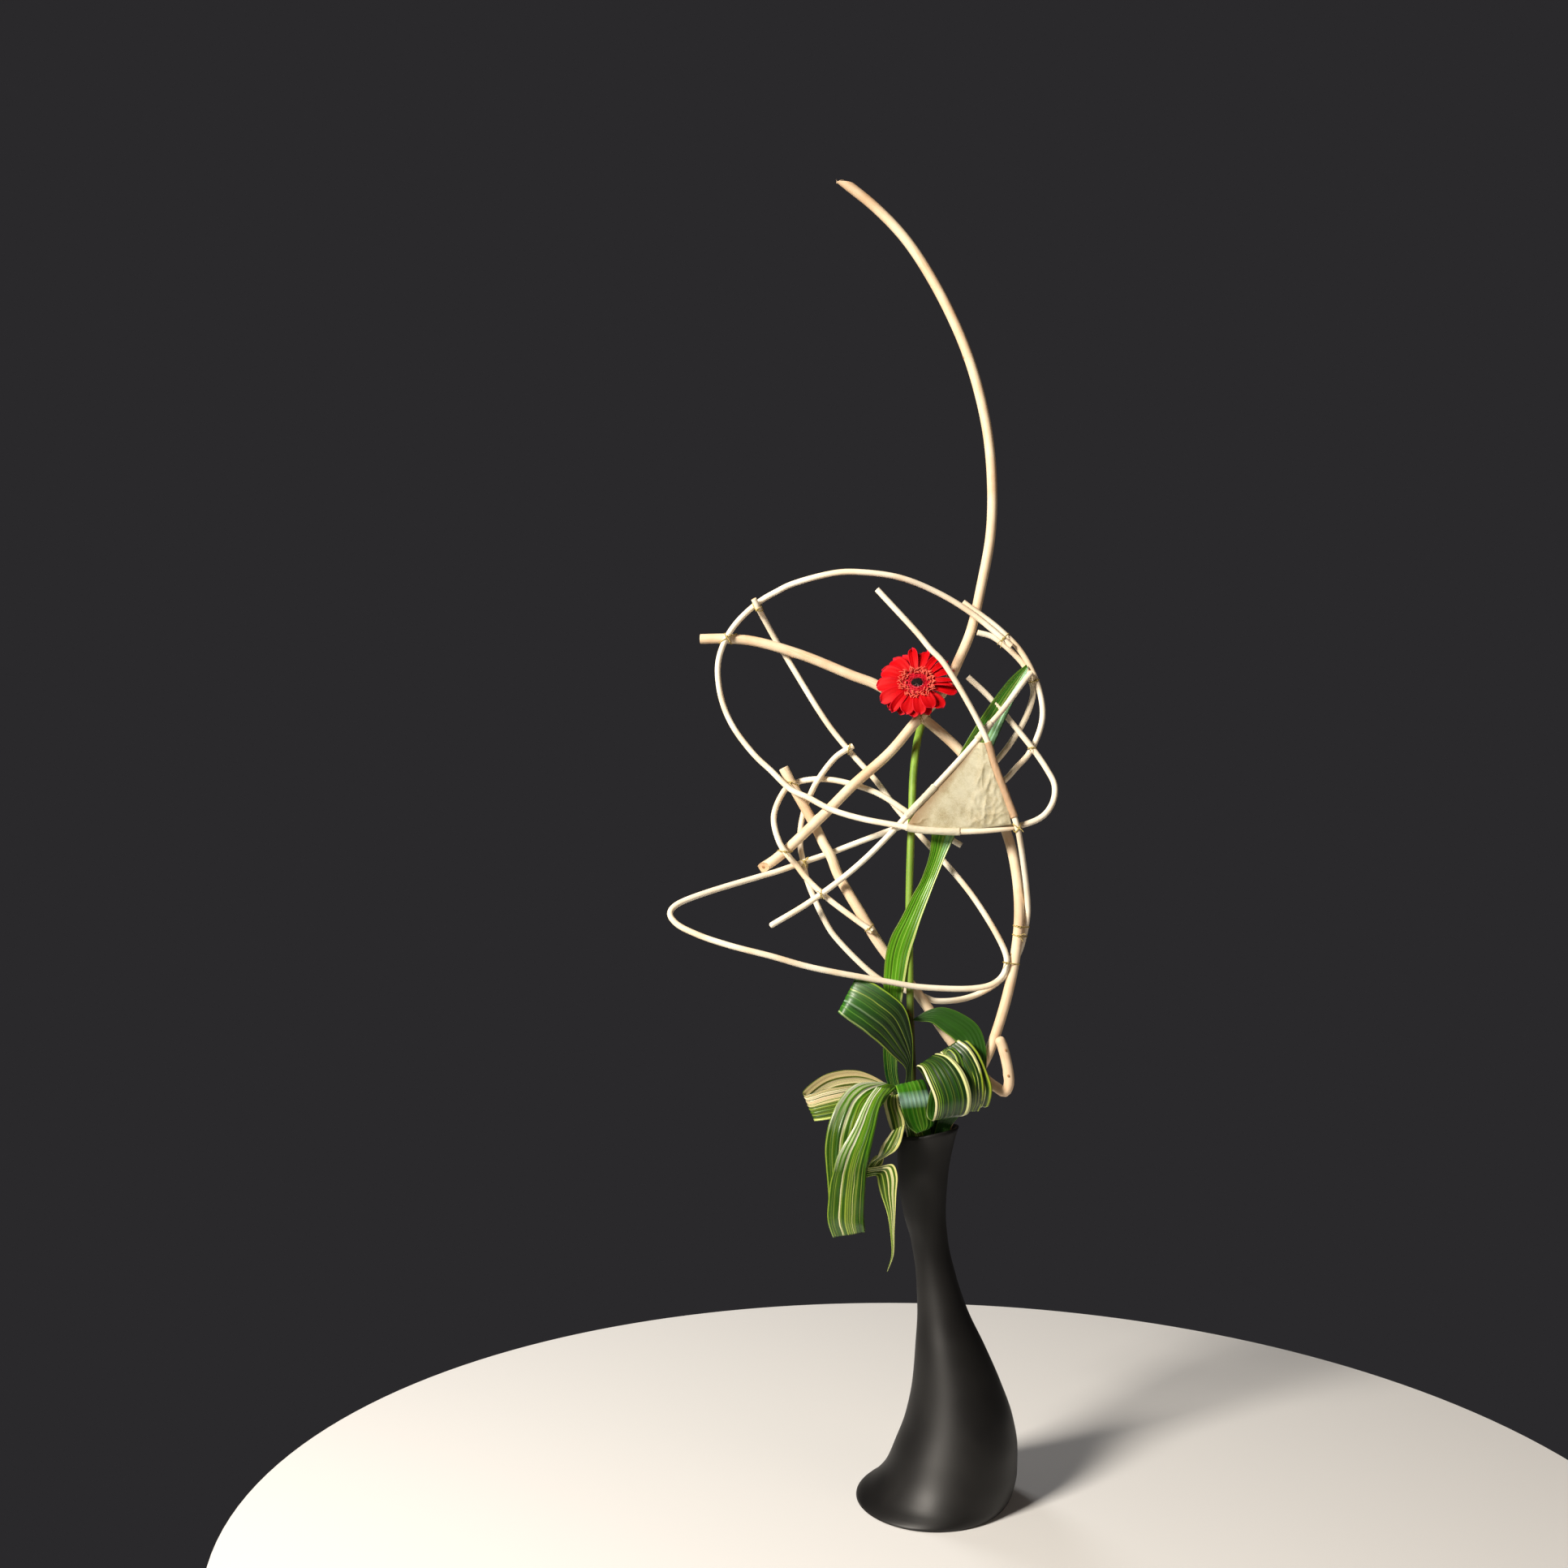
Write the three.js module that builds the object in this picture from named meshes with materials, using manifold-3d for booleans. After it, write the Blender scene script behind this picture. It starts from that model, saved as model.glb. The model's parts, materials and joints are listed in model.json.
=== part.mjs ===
// A free-style ikebana arrangement and the vase it stands in, at real size.
// Millimetres, +Z up, +X right, -Y towards the viewer. The origin is the middle of the vase's flat base.
// Three thick bent branches and six thin peeled withies are bound with twine into an open cage, with one
// triangle of paper glued across it, one gerbera, and seven variegated leaves curled round the vase's mouth.
import * as THREE from "three";
import { mergeVertices } from "three/addons/utils/BufferGeometryUtils.js";
import Module from "manifold-3d";

const wasm = await Module();
wasm.setup();

// ---------- Driving dimensions ----------
const GAP = 0.3; // left between pieces that touch
const TIE_GAP = 0.65; // twine stands this far off the sticks, which curve inside it
const BRANCH_RADIUS = 5.2;
const WITHY_RADIUS = 3;
const STEM_RADIUS = 4;
const HOLE_SPARE = 1.06; // a stem's hole in the water is this much wider, so that its flats clear the stem
const HOLE_DROP = 2; // and reaches this far below the stem's end
const TWINE_RADIUS = 0.6;
const LEAF_THICKNESS = 0.8;
const PAPER_THICKNESS = 0.7;
const VASE_WALL = 5;
const VASE_FLOOR = 12; // thickness of the vase's bottom
const WATER_TOP = 334; // a level surface, though the mouth above it slants

// ---------- Finishes ----------
const finish = (color, roughness) => new THREE.MeshStandardMaterial({ color, roughness, metalness: 0 });
const MATTE_BLACK = finish("#1b1a1a", 0.55);
const WATER = finish("#b9cdd0", 0.05);
const PEELED_WOOD = finish("#e3c79a", 0.6);
const TWINE = finish("#9a8a4c", 0.8);
const PAPER = finish("#d2c6a2", 0.85);
const LEAF = finish("#3f7a1c", 0.35);
const STEM = finish("#7fae2e", 0.5);
const PETAL = finish("#dd0a12", 0.55);
const FLORET = finish("#ee5c50", 0.6);
const EYE = finish("#1a0606", 0.7);

const part = new THREE.Group();

const vector = ([x, y, z]) => new THREE.Vector3(x, y, z);
const path = (points) => new THREE.CatmullRomCurve3(points.map(vector), false, "centripetal");

function add(name, geometry, material) {
  const mesh = new THREE.Mesh(geometry, material);
  mesh.name = name;
  part.add(mesh);
}

// ---------- Joining and cutting ----------
function solid(geometry) {
  const bare = geometry.clone();
  for (const attribute of ["normal", "uv"]) bare.deleteAttribute(attribute);
  const merged = mergeVertices(bare, 1e-3);
  return new wasm.Manifold(
    new wasm.Mesh({
      numProp: 3,
      vertProperties: merged.attributes.position.array,
      triVerts: new Uint32Array(merged.index.array),
    }),
  );
}

function geometryOf(made) {
  const { vertProperties, triVerts } = made.getMesh();
  return new THREE.BufferGeometry()
    .setAttribute("position", new THREE.BufferAttribute(vertProperties, 3))
    .setIndex(new THREE.BufferAttribute(triVerts, 1));
}

const joined = (geometries) => geometries.map(solid).reduce((whole, piece) => whole.add(piece));

// ---------- Round sticks along a curve ----------
function rod(curve, radius, sides, step) {
  const section = new THREE.Shape();
  for (let i = 0; i < sides; i++) {
    const angle = (2 * Math.PI * i) / sides;
    const corner = [radius * Math.cos(angle), radius * Math.sin(angle)];
    if (i) section.lineTo(...corner);
    else section.moveTo(...corner);
  }
  return new THREE.ExtrudeGeometry(section, {
    steps: Math.round(curve.getLength() / step),
    bevelEnabled: false,
    extrudePath: curve,
  });
}

// The parameter of the point on a curve that is nearest to a given place.
function nearest(curve, place) {
  const samples = 900;
  let best = 0;
  for (let i = 0; i <= samples; i++)
    if (curve.getPoint(i / samples).distanceTo(place) < curve.getPoint(best).distanceTo(place)) best = i / samples;
  return best;
}

const sticks = {};

function stick(name, radius, points) {
  const thick = radius > WITHY_RADIUS;
  sticks[name] = { curve: path(points), radius };
  add(name, rod(sticks[name].curve, radius, thick ? 8 : 6, thick ? 24 : 15), PEELED_WOOD);
}

// The tall arc: from its slanted cut at the very top, down behind the flower, to the lower left.
stick("branch_tall_arc", BRANCH_RADIUS, [
  [-81, -14, 1283], [-51, -4, 1261], [-21, 3, 1230], [8, 9, 1185], [34, 13, 1130], [49, 15, 1084],
  [59, 16, 1035], [63, 16, 982], [61, 16, 933], [52, 14, 884], [41, 12, 837], [29, 8, 808],
  [12, 4, 774], [-12, 1, 748], [-40, -2, 715], [-76, -3, 683], [-102, -3, 657], [-152, 0, 611],
  [-169, 1, 600],
]);

// The main upright: from the left, over the top of the cage, round its right side and down into the vase.
const MAIN_UPRIGHT = [
  [-229, 6, 831], [-200, 6, 831], [-174, 7, 828], [-127, 8, 814], [-76, 11, 793], [-53, 12, 784],
  [-28, 13, 767], [29, 12, 718], [54, 11, 681], [74, 10, 638], [83, 8, 601], [86, 6, 560],
  [83, 5, 524], [75, 3, 483], [63, 1, 443], [52, 0, 416], [23, 2, 369], [12, 3, 345], [4, 2, 318],
  [-1, -1, 270], [2, -3, 242], [6, -4, 207], [12, -3, 120], [14, 0, VASE_FLOOR + 4 * GAP],
];
stick("branch_main_upright", BRANCH_RADIUS, MAIN_UPRIGHT);

// The brace: leans across the lower cage and hooks round the main upright.
stick("branch_hooked_brace", BRANCH_RADIUS, [
  [-145, 3, 701], [-137, 4, 685], [-115, 9, 645], [-105, 6, 625], [-98, 3, 613], [-91, 2, 595],
  [-66, -1, 553], [-51, 0, 528], [-12, 7, 477], [21, 12, 430], [45, 13, 403], [55, 8, 394],
  [63, 1, 389], [70, -5, 386], [74, -9, 395], [68, -11, 430], [64, -11, 439],
]);

stick("withy_great_loop", WITHY_RADIUS, [
  [37, -4, 789], [56, -3, 771], [97, -1, 722], [113, -4, 698], [120, -8, 682], [118, -12, 666],
  [108, -16, 652], [87, -20, 643], [34, -22, 637], [-12, -22, 639], [-32, -21, 643], [-68, -16, 650],
  [-97, -13, 659], [-120, -8, 671], [-137, -6, 679], [-157, -3, 698], [-173, 0, 713], [-194, 3, 740],
  [-205, 4, 763], [-210, 2, 786], [-210, 0, 807], [-203, -2, 828], [-190, -3, 847], [-168, -6, 866],
  [-150, -12, 875], [-135, -17, 881], [-91, -26, 890], [-67, -27, 890], [-29, -22, 885], [7, -11, 872],
  [41, -4, 852], [80, -3, 819],
]);

stick("withy_teardrop", WITHY_RADIUS, [
  [33, 2, 864], [69, 2, 836], [91, 3, 812], [107, 6, 777], [110, 7, 748], [98, 8, 716], [84, 11, 700],
  [73, 15, 688], [54, 20, 673], [26, 20, 661], [-20, 12, 646], [-53, 13, 634], [-77, 13, 625],
  [-98, 14, 617], [-121, 6, 609], [-152, -3, 598], [-166, -6, 594], [-246, -38, 566], [-251, -43, 558],
  [-245, -46, 549], [-223, -50, 538], [-192, -52, 528], [-153, -49, 518], [-115, -41, 507],
  [-40, -23, 492], [-12, -15, 487], [40, -4, 485], [59, -2, 489], [69, 0, 497], [73, -1, 508],
  [72, 0, 519], [41, 7, 574], [-19, 19, 644], [-35, 18, 663], [-55, 16, 690], [-79, 16, 717],
  [-102, 17, 746], [-145, 18, 816], [-153, 14, 829], [-165, 0, 851], [-169, -12, 859], [-173, -16, 867],
]);

stick("withy_long_bow", WITHY_RADIUS, [
  [-51, -38, 871], [-12, -36, 828], [0, -36, 813], [13, -35, 799], [52, -28, 730], [62, -28, 699],
  [76, -28, 661], [82, -28, 643], [87, -17, 620], [94, 4, 570], [94, 9, 554], [86, 14, 519],
  [70, 14, 494], [38, 15, 475], [4, 16, 471], [-7, 17, 475], [-28, 16, 482], [-52, 13, 493],
  [-92, 10, 531], [-103, 8, 547], [-122, 8, 590], [-126, 12, 608], [-129, 16, 621], [-129, 17, 642],
  [-124, 18, 664], [-119, 11, 674], [-112, 4, 687], [-93, 8, 712], [-76, 9, 723],
]);

stick("withy_diagonal", WITHY_RADIUS, [
  [99, -3, 793], [93, -5, 786], [69, -13, 754], [55, -20, 738], [40, -20, 720], [-12, -15, 664],
  [-69, -14, 606], [-116, -11, 570], [-157, -14, 545],
]);

stick("withy_small_loop", WITHY_RADIUS, [
  [30, 10, 624], [3, 6, 640], [-23, 6, 657], [-53, 7, 676], [-91, 8, 688], [-116, 12, 690], [-138, 14, 685],
  [-146, 6, 676], [-154, -5, 652], [-148, -10, 627], [-138, -9, 612], [-132, -5, 605], [-122, -4, 592],
  [-102, -5, 573], [-74, -9, 552], [-57, -10, 540],
]);

stick("withy_inner_arc", WITHY_RADIUS, [
  [47, 4, 834], [63, 6, 829], [93, 9, 801], [101, 9, 780], [101, 9, 771], [93, 6, 748], [77, 7, 722],
  [65, 11, 707],
]);

// ---------- Twine ties ----------
// A ring of twine drawn tight round the sticks that pass near a point: each stick cuts the ring's plane in an
// ellipse, and the ring runs round the outside of them all.
function tie(name, names, near) {
  const here = vector(near);
  const passes = names.map((key) => {
    const { curve, radius } = sticks[key];
    const best = nearest(curve, here);
    return { point: curve.getPoint(best), along: curve.getTangent(best), reach: radius + TIE_GAP + TWINE_RADIUS };
  });
  const axis = new THREE.Vector3();
  for (const { along } of passes) axis.addScaledVector(along, Math.sign(along.dot(passes[0].along)) || 1);
  axis.normalize();
  const middle = new THREE.Vector3();
  for (const { point } of passes) middle.addScaledVector(point, 1 / passes.length);
  const across = passes[0].point.clone().sub(passes.at(-1).point);
  across.addScaledVector(axis, -across.dot(axis)).normalize();
  const side = new THREE.Vector3().crossVectors(axis, across);
  for (const pass of passes) {
    const slope = pass.along.dot(axis);
    const offset = middle.clone().sub(pass.point).dot(axis) / slope;
    pass.centre = pass.point.clone().addScaledVector(pass.along, offset);
    pass.long = pass.along.clone().addScaledVector(axis, -slope);
    if (pass.long.length() < 1e-3) pass.long.copy(across);
    pass.long.normalize();
    pass.short = new THREE.Vector3().crossVectors(axis, pass.long);
    pass.stretch = pass.reach / Math.abs(slope);
  }
  const ring = new THREE.TorusGeometry(1, 0.5, 4, 12); // unit ring, its half-thick section scaled below
  const positions = ring.attributes.position;
  for (let i = 0; i < positions.count; i++) {
    const at = new THREE.Vector3().fromBufferAttribute(positions, i);
    const angle = Math.atan2(at.y, at.x);
    const outward = across.clone().multiplyScalar(Math.cos(angle)).addScaledVector(side, Math.sin(angle));
    let furthest = -Infinity;
    const seat = new THREE.Vector3();
    for (const { centre, long, short, stretch, reach } of passes) {
      const a = stretch * outward.dot(long);
      const b = reach * outward.dot(short);
      const spread = Math.hypot(a, b);
      const reached = centre.clone().sub(middle).dot(outward) + spread;
      if (reached <= furthest) continue;
      furthest = reached;
      seat.copy(centre).addScaledVector(long, (a * stretch) / spread).addScaledVector(short, (b * reach) / spread);
    }
    const proud = (Math.hypot(at.x, at.y) - 1) / 0.5;
    seat.addScaledVector(outward, TWINE_RADIUS * proud).addScaledVector(axis, (TWINE_RADIUS * at.z) / 0.5);
    positions.setXYZ(i, seat.x, seat.y, seat.z);
  }
  add(name, ring, TWINE);
}

tie("tie_top_splice", ["withy_great_loop", "withy_teardrop"], [72, 0, 827]);
tie("tie_diagonal_end", ["withy_teardrop", "withy_inner_arc"], [100, 6, 785]);
tie("tie_right_cross", ["withy_great_loop", "withy_teardrop"], [98, 3, 719]);
tie("tie_top_left", ["withy_teardrop", "withy_great_loop"], [-168, -8, 860]);
tie("tie_left_end", ["branch_main_upright", "withy_great_loop"], [-200, 2, 830]);
tie("tie_main_crossing", ["branch_tall_arc", "branch_main_upright"], [-10, 7, 750]);
tie("tie_brace_head", ["branch_hooked_brace", "withy_small_loop"], [-136, 8, 684]);
tie("tie_loop_on_arc", ["branch_tall_arc", "withy_small_loop"], [-146, -4, 619]);
tie("tie_bow_on_teardrop", ["withy_teardrop", "withy_long_bow"], [-124, 8, 605]);
tie("tie_loop_on_diagonal", ["withy_small_loop", "withy_diagonal"], [-107, -7, 576]);
tie("tie_loop_on_brace", ["withy_small_loop", "branch_hooked_brace"], [-60, -6, 543]);
tie("tie_bow_upper", ["branch_main_upright", "withy_long_bow"], [89, 7, 545]);
tie("tie_bow_lower", ["branch_main_upright", "withy_long_bow"], [88, 8, 536]);
tie("tie_teardrop_heel", ["branch_main_upright", "withy_teardrop"], [77, 2, 509]);
tie("tie_triangle_corner", ["withy_long_bow", "withy_great_loop"], [83, -24, 642]);
tie("tie_bow_end", ["withy_long_bow", "withy_teardrop"], [-80, 12, 721]);

// ---------- Paper triangle ----------
// One sheet glued across three crossing withies: it is wrapped right round the bow on its right edge.
function paperTriangle() {
  const left = path([[48, -23, 723], [33.5, -20, 707], [-9, -16, 661], [-21, -18, 646]]);
  const right = path([[51, -27.5, 722], [58.4, -28, 697.7], [72.4, -28, 659.7], [76, -27, 646]]);
  const foot = path([[-21, -18, 646], [30, -21.5, 641.5], [76, -27, 646]]);
  const sheet = new THREE.BoxGeometry(1, 1, PAPER_THICKNESS, 4, 8, 1);
  const positions = sheet.attributes.position;
  for (let i = 0; i < positions.count; i++) {
    const across = positions.getX(i) + 0.5;
    const down = 0.5 - positions.getY(i);
    const at = left.getPoint(down).lerp(right.getPoint(down), across);
    const straight = left.getPoint(1).lerp(right.getPoint(1), across);
    at.addScaledVector(foot.getPoint(across).sub(straight), down ** 6);
    positions.setXYZ(i, at.x, at.y - positions.getZ(i), at.z);
  }
  const bow = sticks.withy_long_bow.curve;
  const [top, corner] = [[54, -28, 722], [80, -28, 650]].map((point) => nearest(bow, vector(point)));
  const wrapped = new THREE.CatmullRomCurve3(
    Array.from({ length: 9 }, (_, i) => bow.getPoint(top + ((corner - top) * i) / 8)),
  );
  const sides = 10;
  const flat = Math.cos(Math.PI / sides); // a polygon's flats lie this much nearer than its corners
  const sleeve = solid(rod(wrapped, (WITHY_RADIUS + GAP + PAPER_THICKNESS) / flat, sides, 12));
  const bore = solid(rod(bow, (WITHY_RADIUS + GAP) / flat, sides, 15));
  return geometryOf(solid(sheet).add(sleeve).subtract(bore));
}

// ---------- Leaves ----------
// A blade between two margins. Each row is [left x, y, z], [right x, y, z], from the foot to the tip.
function blade(rows, thickness = LEAF_THICKNESS, spare = 0) {
  const left = path(rows.map((row) => row[0]));
  const right = path(rows.map((row) => row[1]));
  const across = 2;
  const along = 2 * (rows.length - 1);
  const box = new THREE.BoxGeometry(1, 1, 1, across, along, 1);
  const positions = box.attributes.position;
  const place = (u, v) => left.getPoint(v).lerp(right.getPoint(v), u);
  for (let i = 0; i < positions.count; i++) {
    const u = positions.getX(i) + 0.5;
    const v = positions.getY(i) + 0.5;
    const step = 0.004;
    const lengthwise = place(u, Math.min(1, v + step)).sub(place(u, Math.max(0, v - step)));
    const widthwise = right.getPoint(v).sub(left.getPoint(v));
    const face = new THREE.Vector3().crossVectors(widthwise, lengthwise).normalize();
    const at = place(u, v).addScaledVector(widthwise.normalize(), 2 * spare * (u - 0.5));
    at.addScaledVector(face, positions.getZ(i) * (thickness + 2 * spare));
    positions.setXYZ(i, at.x, at.y, at.z);
  }
  return box;
}

const LEAVES = {
  leaf_upright: [
    [[-22, -2, 322], [-14, -2, 322]], [[-25, -2, 345], [-17, -2, 346]], [[-36, -5, 376], [-27, -5, 379]],
    [[-45, -8, 402], [-33, -7, 403]], [[-47, -11, 464], [-29, -9, 468]], [[-46, -12, 497], [-25, -10, 496]],
    [[-44, -13, 518], [-21, -10, 517]], [[-39, -14, 535], [-16, -11, 533]], [[-29, -13, 553], [-10, -11, 552]],
    [[-18, -12, 575], [-2, -10, 573]], [[-11, -10, 587], [3, -8, 586]], [[-6, -10, 599], [8, -7, 598]],
    [[-1, -9, 616], [15, -6, 615]], [[2, -8, 641], [25, -6, 636]], [[20, -8, 692], [47, -5, 685]],
    [[30, -8, 716], [59, -6, 715]], [[46, -8, 743], [71, -7, 742]], [[63, -6, 768], [81, -4, 764]],
    [[80, -3, 789], [90, -2, 781]], [[94, -1, 801], [96, -1, 798]],
  ],
  leaf_left_loop: [
    [[-13, -6, 322], [-5, -6, 322]], [[-15, -7, 346], [-7, -7, 346]], [[-27, -12, 382], [-19, -11, 383]],
    [[-25, -15, 407], [-18, -15, 421]], [[-38, -22, 421], [-19, -21, 445]], [[-56, -27, 438], [-26, -27, 469]],
    [[-76, -30, 453], [-43, -28, 484]], [[-87, -30, 461], [-64, -24, 495]], [[-90, -24, 463], [-72, -21, 497]],
    [[-87, -18, 461], [-70, -18, 496]], [[-74, -16, 454], [-53, -16, 488]], [[-53, -16, 442], [-34, -16, 470]],
    [[-36, -16, 429], [-27, -16, 446]],
  ],
  leaf_right_ring: [
    [[-1, -9, 322], [7, -9, 322]], [[0, -10, 347], [9, -10, 347]], [[3, -14, 366], [11, -12, 370]],
    [[-2, -14, 387], [15, -9, 398]], [[-10, -20, 405], [9, -10, 418]], [[-15, -27, 412], [5, -19, 424]],
    [[-11, -34, 412], [17, -29, 422]], [[-4, -44, 399], [30, -39, 409]], [[2, -47, 383], [37, -42, 387]],
    [[2, -44, 371], [35, -36, 371]], [[-1, -35, 362], [29, -27, 366]], [[-5, -29, 365], [21, -19, 367]],
    [[-3, -27, 385], [23, -18, 394]], [[7, -22, 409], [29, -15, 424]], [[15, -21, 427], [33, -16, 436]],
    [[21, -27, 423], [43, -21, 427]], [[25, -32, 410], [51, -24, 411]], [[29, -34, 392], [57, -26, 391]],
    [[29, -28, 377], [53, -20, 374]], [[28, -19, 371], [49, -12, 375]], [[31, -12, 391], [52, -8, 401]],
    [[31, -10, 417], [52, -8, 429]], [[23, -8, 434], [45, -8, 449]], [[9, -8, 445], [29, -8, 461]],
    [[-1, -8, 452], [10, -8, 467]], [[-12, -8, 453], [-5, -8, 463]], [[-18, -8, 454], [-18, -8, 455]],
  ],
  leaf_rim_curl: [
    [[-8, -13, 322], [0, -13, 322]], [[-10, -14, 347], [-1, -14, 347]], [[-21, -15, 370], [-10, -15, 373]],
    [[-31, -17, 388], [-10, -16, 394]], [[-35, -22, 393], [-9, -18, 399]], [[-34, -30, 392], [-6, -22, 395]],
    [[-31, -37, 381], [-2, -22, 382]], [[-28, -40, 369], [0, -23, 368]], [[-23, -38, 357], [1, -25, 357]],
    [[-15, -35, 350], [-4, -29, 353]],
  ],
  leaf_left_fold: [
    [[-22, -9, 322], [-15, -10, 322]], [[-25, -9, 346], [-18, -11, 346]], [[-32, -12, 377], [-30, -13, 368]],
    [[-44, -14, 393], [-39, -15, 382]], [[-66, -16, 405], [-60, -17, 382]], [[-81, -19, 407], [-74, -20, 381]],
    [[-100, -24, 404], [-94, -26, 376]], [[-116, -32, 395], [-108, -33, 366]], [[-123, -38, 388], [-112, -39, 362]],
    [[-120, -43, 386], [-110, -45, 362]], [[-105, -45, 391], [-98, -47, 364]], [[-87, -44, 395], [-83, -46, 368]],
    [[-73, -41, 396], [-70, -42, 375]],
  ],
  leaf_hanging: [
    [[-20, -13, 323], [-12, -13, 323]], [[-23, -14, 346], [-14, -15, 346]], [[-36, -19, 383], [-28, -19, 380]],
    [[-44, -25, 395], [-33, -24, 391]], [[-57, -36, 398], [-39, -34, 388]], [[-72, -49, 398], [-46, -47, 380]],
    [[-84, -59, 389], [-52, -58, 373]], [[-92, -66, 376], [-54, -66, 361]], [[-98, -70, 359], [-56, -70, 348]],
    [[-100, -72, 341], [-59, -72, 332]], [[-99, -73, 323], [-62, -73, 314]], [[-97, -73, 298], [-64, -73, 294]],
    [[-97, -72, 276], [-64, -72, 279]], [[-92, -70, 260], [-63, -71, 266]],
  ],
  leaf_twisted: [
    [[-15, -16, 322], [-8, -16, 322]], [[-17, -19, 347], [-9, -19, 347]], [[-35, -26, 378], [-28, -25, 379]],
    [[-42, -34, 385], [-32, -32, 386]], [[-46, -41, 381], [-31, -39, 376]], [[-43, -46, 366], [-26, -44, 362]],
    [[-38, -47, 352], [-28, -47, 351]], [[-36, -43, 344], [-36, -53, 344]], [[-37, -49, 335], [-45, -49, 342]],
    [[-46, -54, 333], [-46, -45, 333]], [[-54, -50, 331], [-48, -51, 322]], [[-61, -51, 322], [-62, -52, 313]],
    [[-63, -55, 321], [-63, -56, 312]], [[-50, -58, 323], [-53, -57, 314]], [[-37, -59, 325], [-52, -58, 312]],
    [[-33, -59, 316], [-51, -58, 305]], [[-34, -58, 298], [-48, -57, 295]], [[-35, -57, 281], [-43, -56, 280]],
    [[-36, -55, 262], [-40, -54, 262]], [[-37, -54, 240], [-39, -54, 240]], [[-43, -53, 224], [-43, -53, 225]],
  ],
};
for (const [name, rows] of Object.entries(LEAVES)) add(name, blade(rows), LEAF);

// ---------- Gerbera ----------
const HEAD = new THREE.Vector3(-13, -15, 782);
const HEAD_RADIUS = 41;
const DISC_RADIUS = 18;
const DISC_LEVEL = 5.2; // the disc's underside, in front of the head's middle
const EYE_RADIUS = 6;
const PETAL_THICKNESS = 0.9;
const PETAL_ROOT = 7; // how far from the head's middle a petal starts
const PETALS_IN_ROW = 13;
const FRONT_ROW = { length: HEAD_RADIUS - 2, width: 15, lift: 1.2 };
const BACK_ROW = { length: HEAD_RADIUS - 1, width: 14, lift: -2 };
const FLORET_COUNT = 22;
const FLORET_LENGTH = 6;
const HEAD_LOOKS = new THREE.Vector3(-0.05, -0.89, 0.45).normalize(); // towards the viewer and a little up

function headFrame() {
  const sideways = new THREE.Vector3(0, 0, 1).cross(HEAD_LOOKS).normalize();
  const upward = new THREE.Vector3().crossVectors(HEAD_LOOKS, sideways);
  return new THREE.Matrix4().makeBasis(sideways, upward, HEAD_LOOKS).setPosition(HEAD);
}

const STEM_PATH = [
  [0, 8, 120], [-5, 6, 207], [-9, 6, 242], [-11, 6, 265], [-17, 8, 318], [-19, 6, 370], [-19, 3, 410],
  [-20, -2, 437], [-21, -5, 499], [-21, -5, 578], [-18, -3, 661], [-17, 4, 689], [-13, 19, 726],
  [-8, 30, 748], [-7, 26, 760], [-10, 6, 772], [-13, -7, 778],
];

// A ray floret: a broad rounded petal, arched along its length and dished across.
function petal(turn, length, width, lift) {
  const box = new THREE.BoxGeometry(1, 1, PETAL_THICKNESS, 2, 4, 1);
  const positions = box.attributes.position;
  for (let i = 0; i < positions.count; i++) {
    const along = positions.getY(i) + 0.5;
    const side = 2 * positions.getX(i);
    const broadening = 0.3 + 0.7 * Math.sin(Math.min(1, 1.25 * along) * Math.PI * 0.5);
    const half = (width / 2) * broadening * Math.sqrt(Math.max(0.06, 1 - Math.pow(along, 7))); // blunt round tip
    const radius = PETAL_ROOT + (length - PETAL_ROOT) * along * (1 - 0.02 * side * side * along);
    const arch = 4.5 * Math.sin(along * 2.4) - 4 * along * along;
    const dish = (1.4 * side * side + 1.2 * side) * along; // with one margin over the neighbour's
    positions.setXYZ(i, side * half, radius, lift + arch + dish + positions.getZ(i));
  }
  return box.rotateZ(turn);
}

function rayFlorets() {
  const core = new THREE.CylinderGeometry(11, 10, 7, 20).rotateX(Math.PI / 2).translate(0, 0, 0.5);
  const petals = [core];
  const turn = (place) => (2 * Math.PI * place) / PETALS_IN_ROW;
  for (let i = 0; i < PETALS_IN_ROW; i++) {
    const length = FRONT_ROW.length + 2.5 * Math.sin(3.7 * i);
    petals.push(petal(turn(i + 0.35 * Math.sin(5 * i)), length, FRONT_ROW.width, FRONT_ROW.lift));
  }
  for (let i = 0; i < PETALS_IN_ROW; i++) {
    const length = BACK_ROW.length + 1.5 * Math.sin(2.3 * i);
    petals.push(petal(turn(i + 0.5), length, BACK_ROW.width, BACK_ROW.lift));
  }
  return joined(petals);
}

// The coral ring of short florets round the dark eye.
function discFlorets() {
  const section = [[6, 0], [16, 0], [16.5, 1.6], [13, 3.8], [8, 3.6], [6, 2], [6, 0]];
  const ring = new THREE.LatheGeometry(section.map(([x, y]) => new THREE.Vector2(x, y + DISC_LEVEL)), 24);
  const pieces = [ring.rotateX(Math.PI / 2)];
  for (let i = 0; i < FLORET_COUNT; i++) {
    const outer = i % 2 === 1;
    const floret = new THREE.ConeGeometry(1.7, FLORET_LENGTH, 4)
      .rotateX(Math.PI / 2 - (outer ? 0.5 : 0.1))
      .translate(0, outer ? 15 : 10.5, DISC_LEVEL + 4.4);
    pieces.push(floret.rotateZ((2 * Math.PI * i) / FLORET_COUNT));
  }
  return joined(pieces);
}

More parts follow.
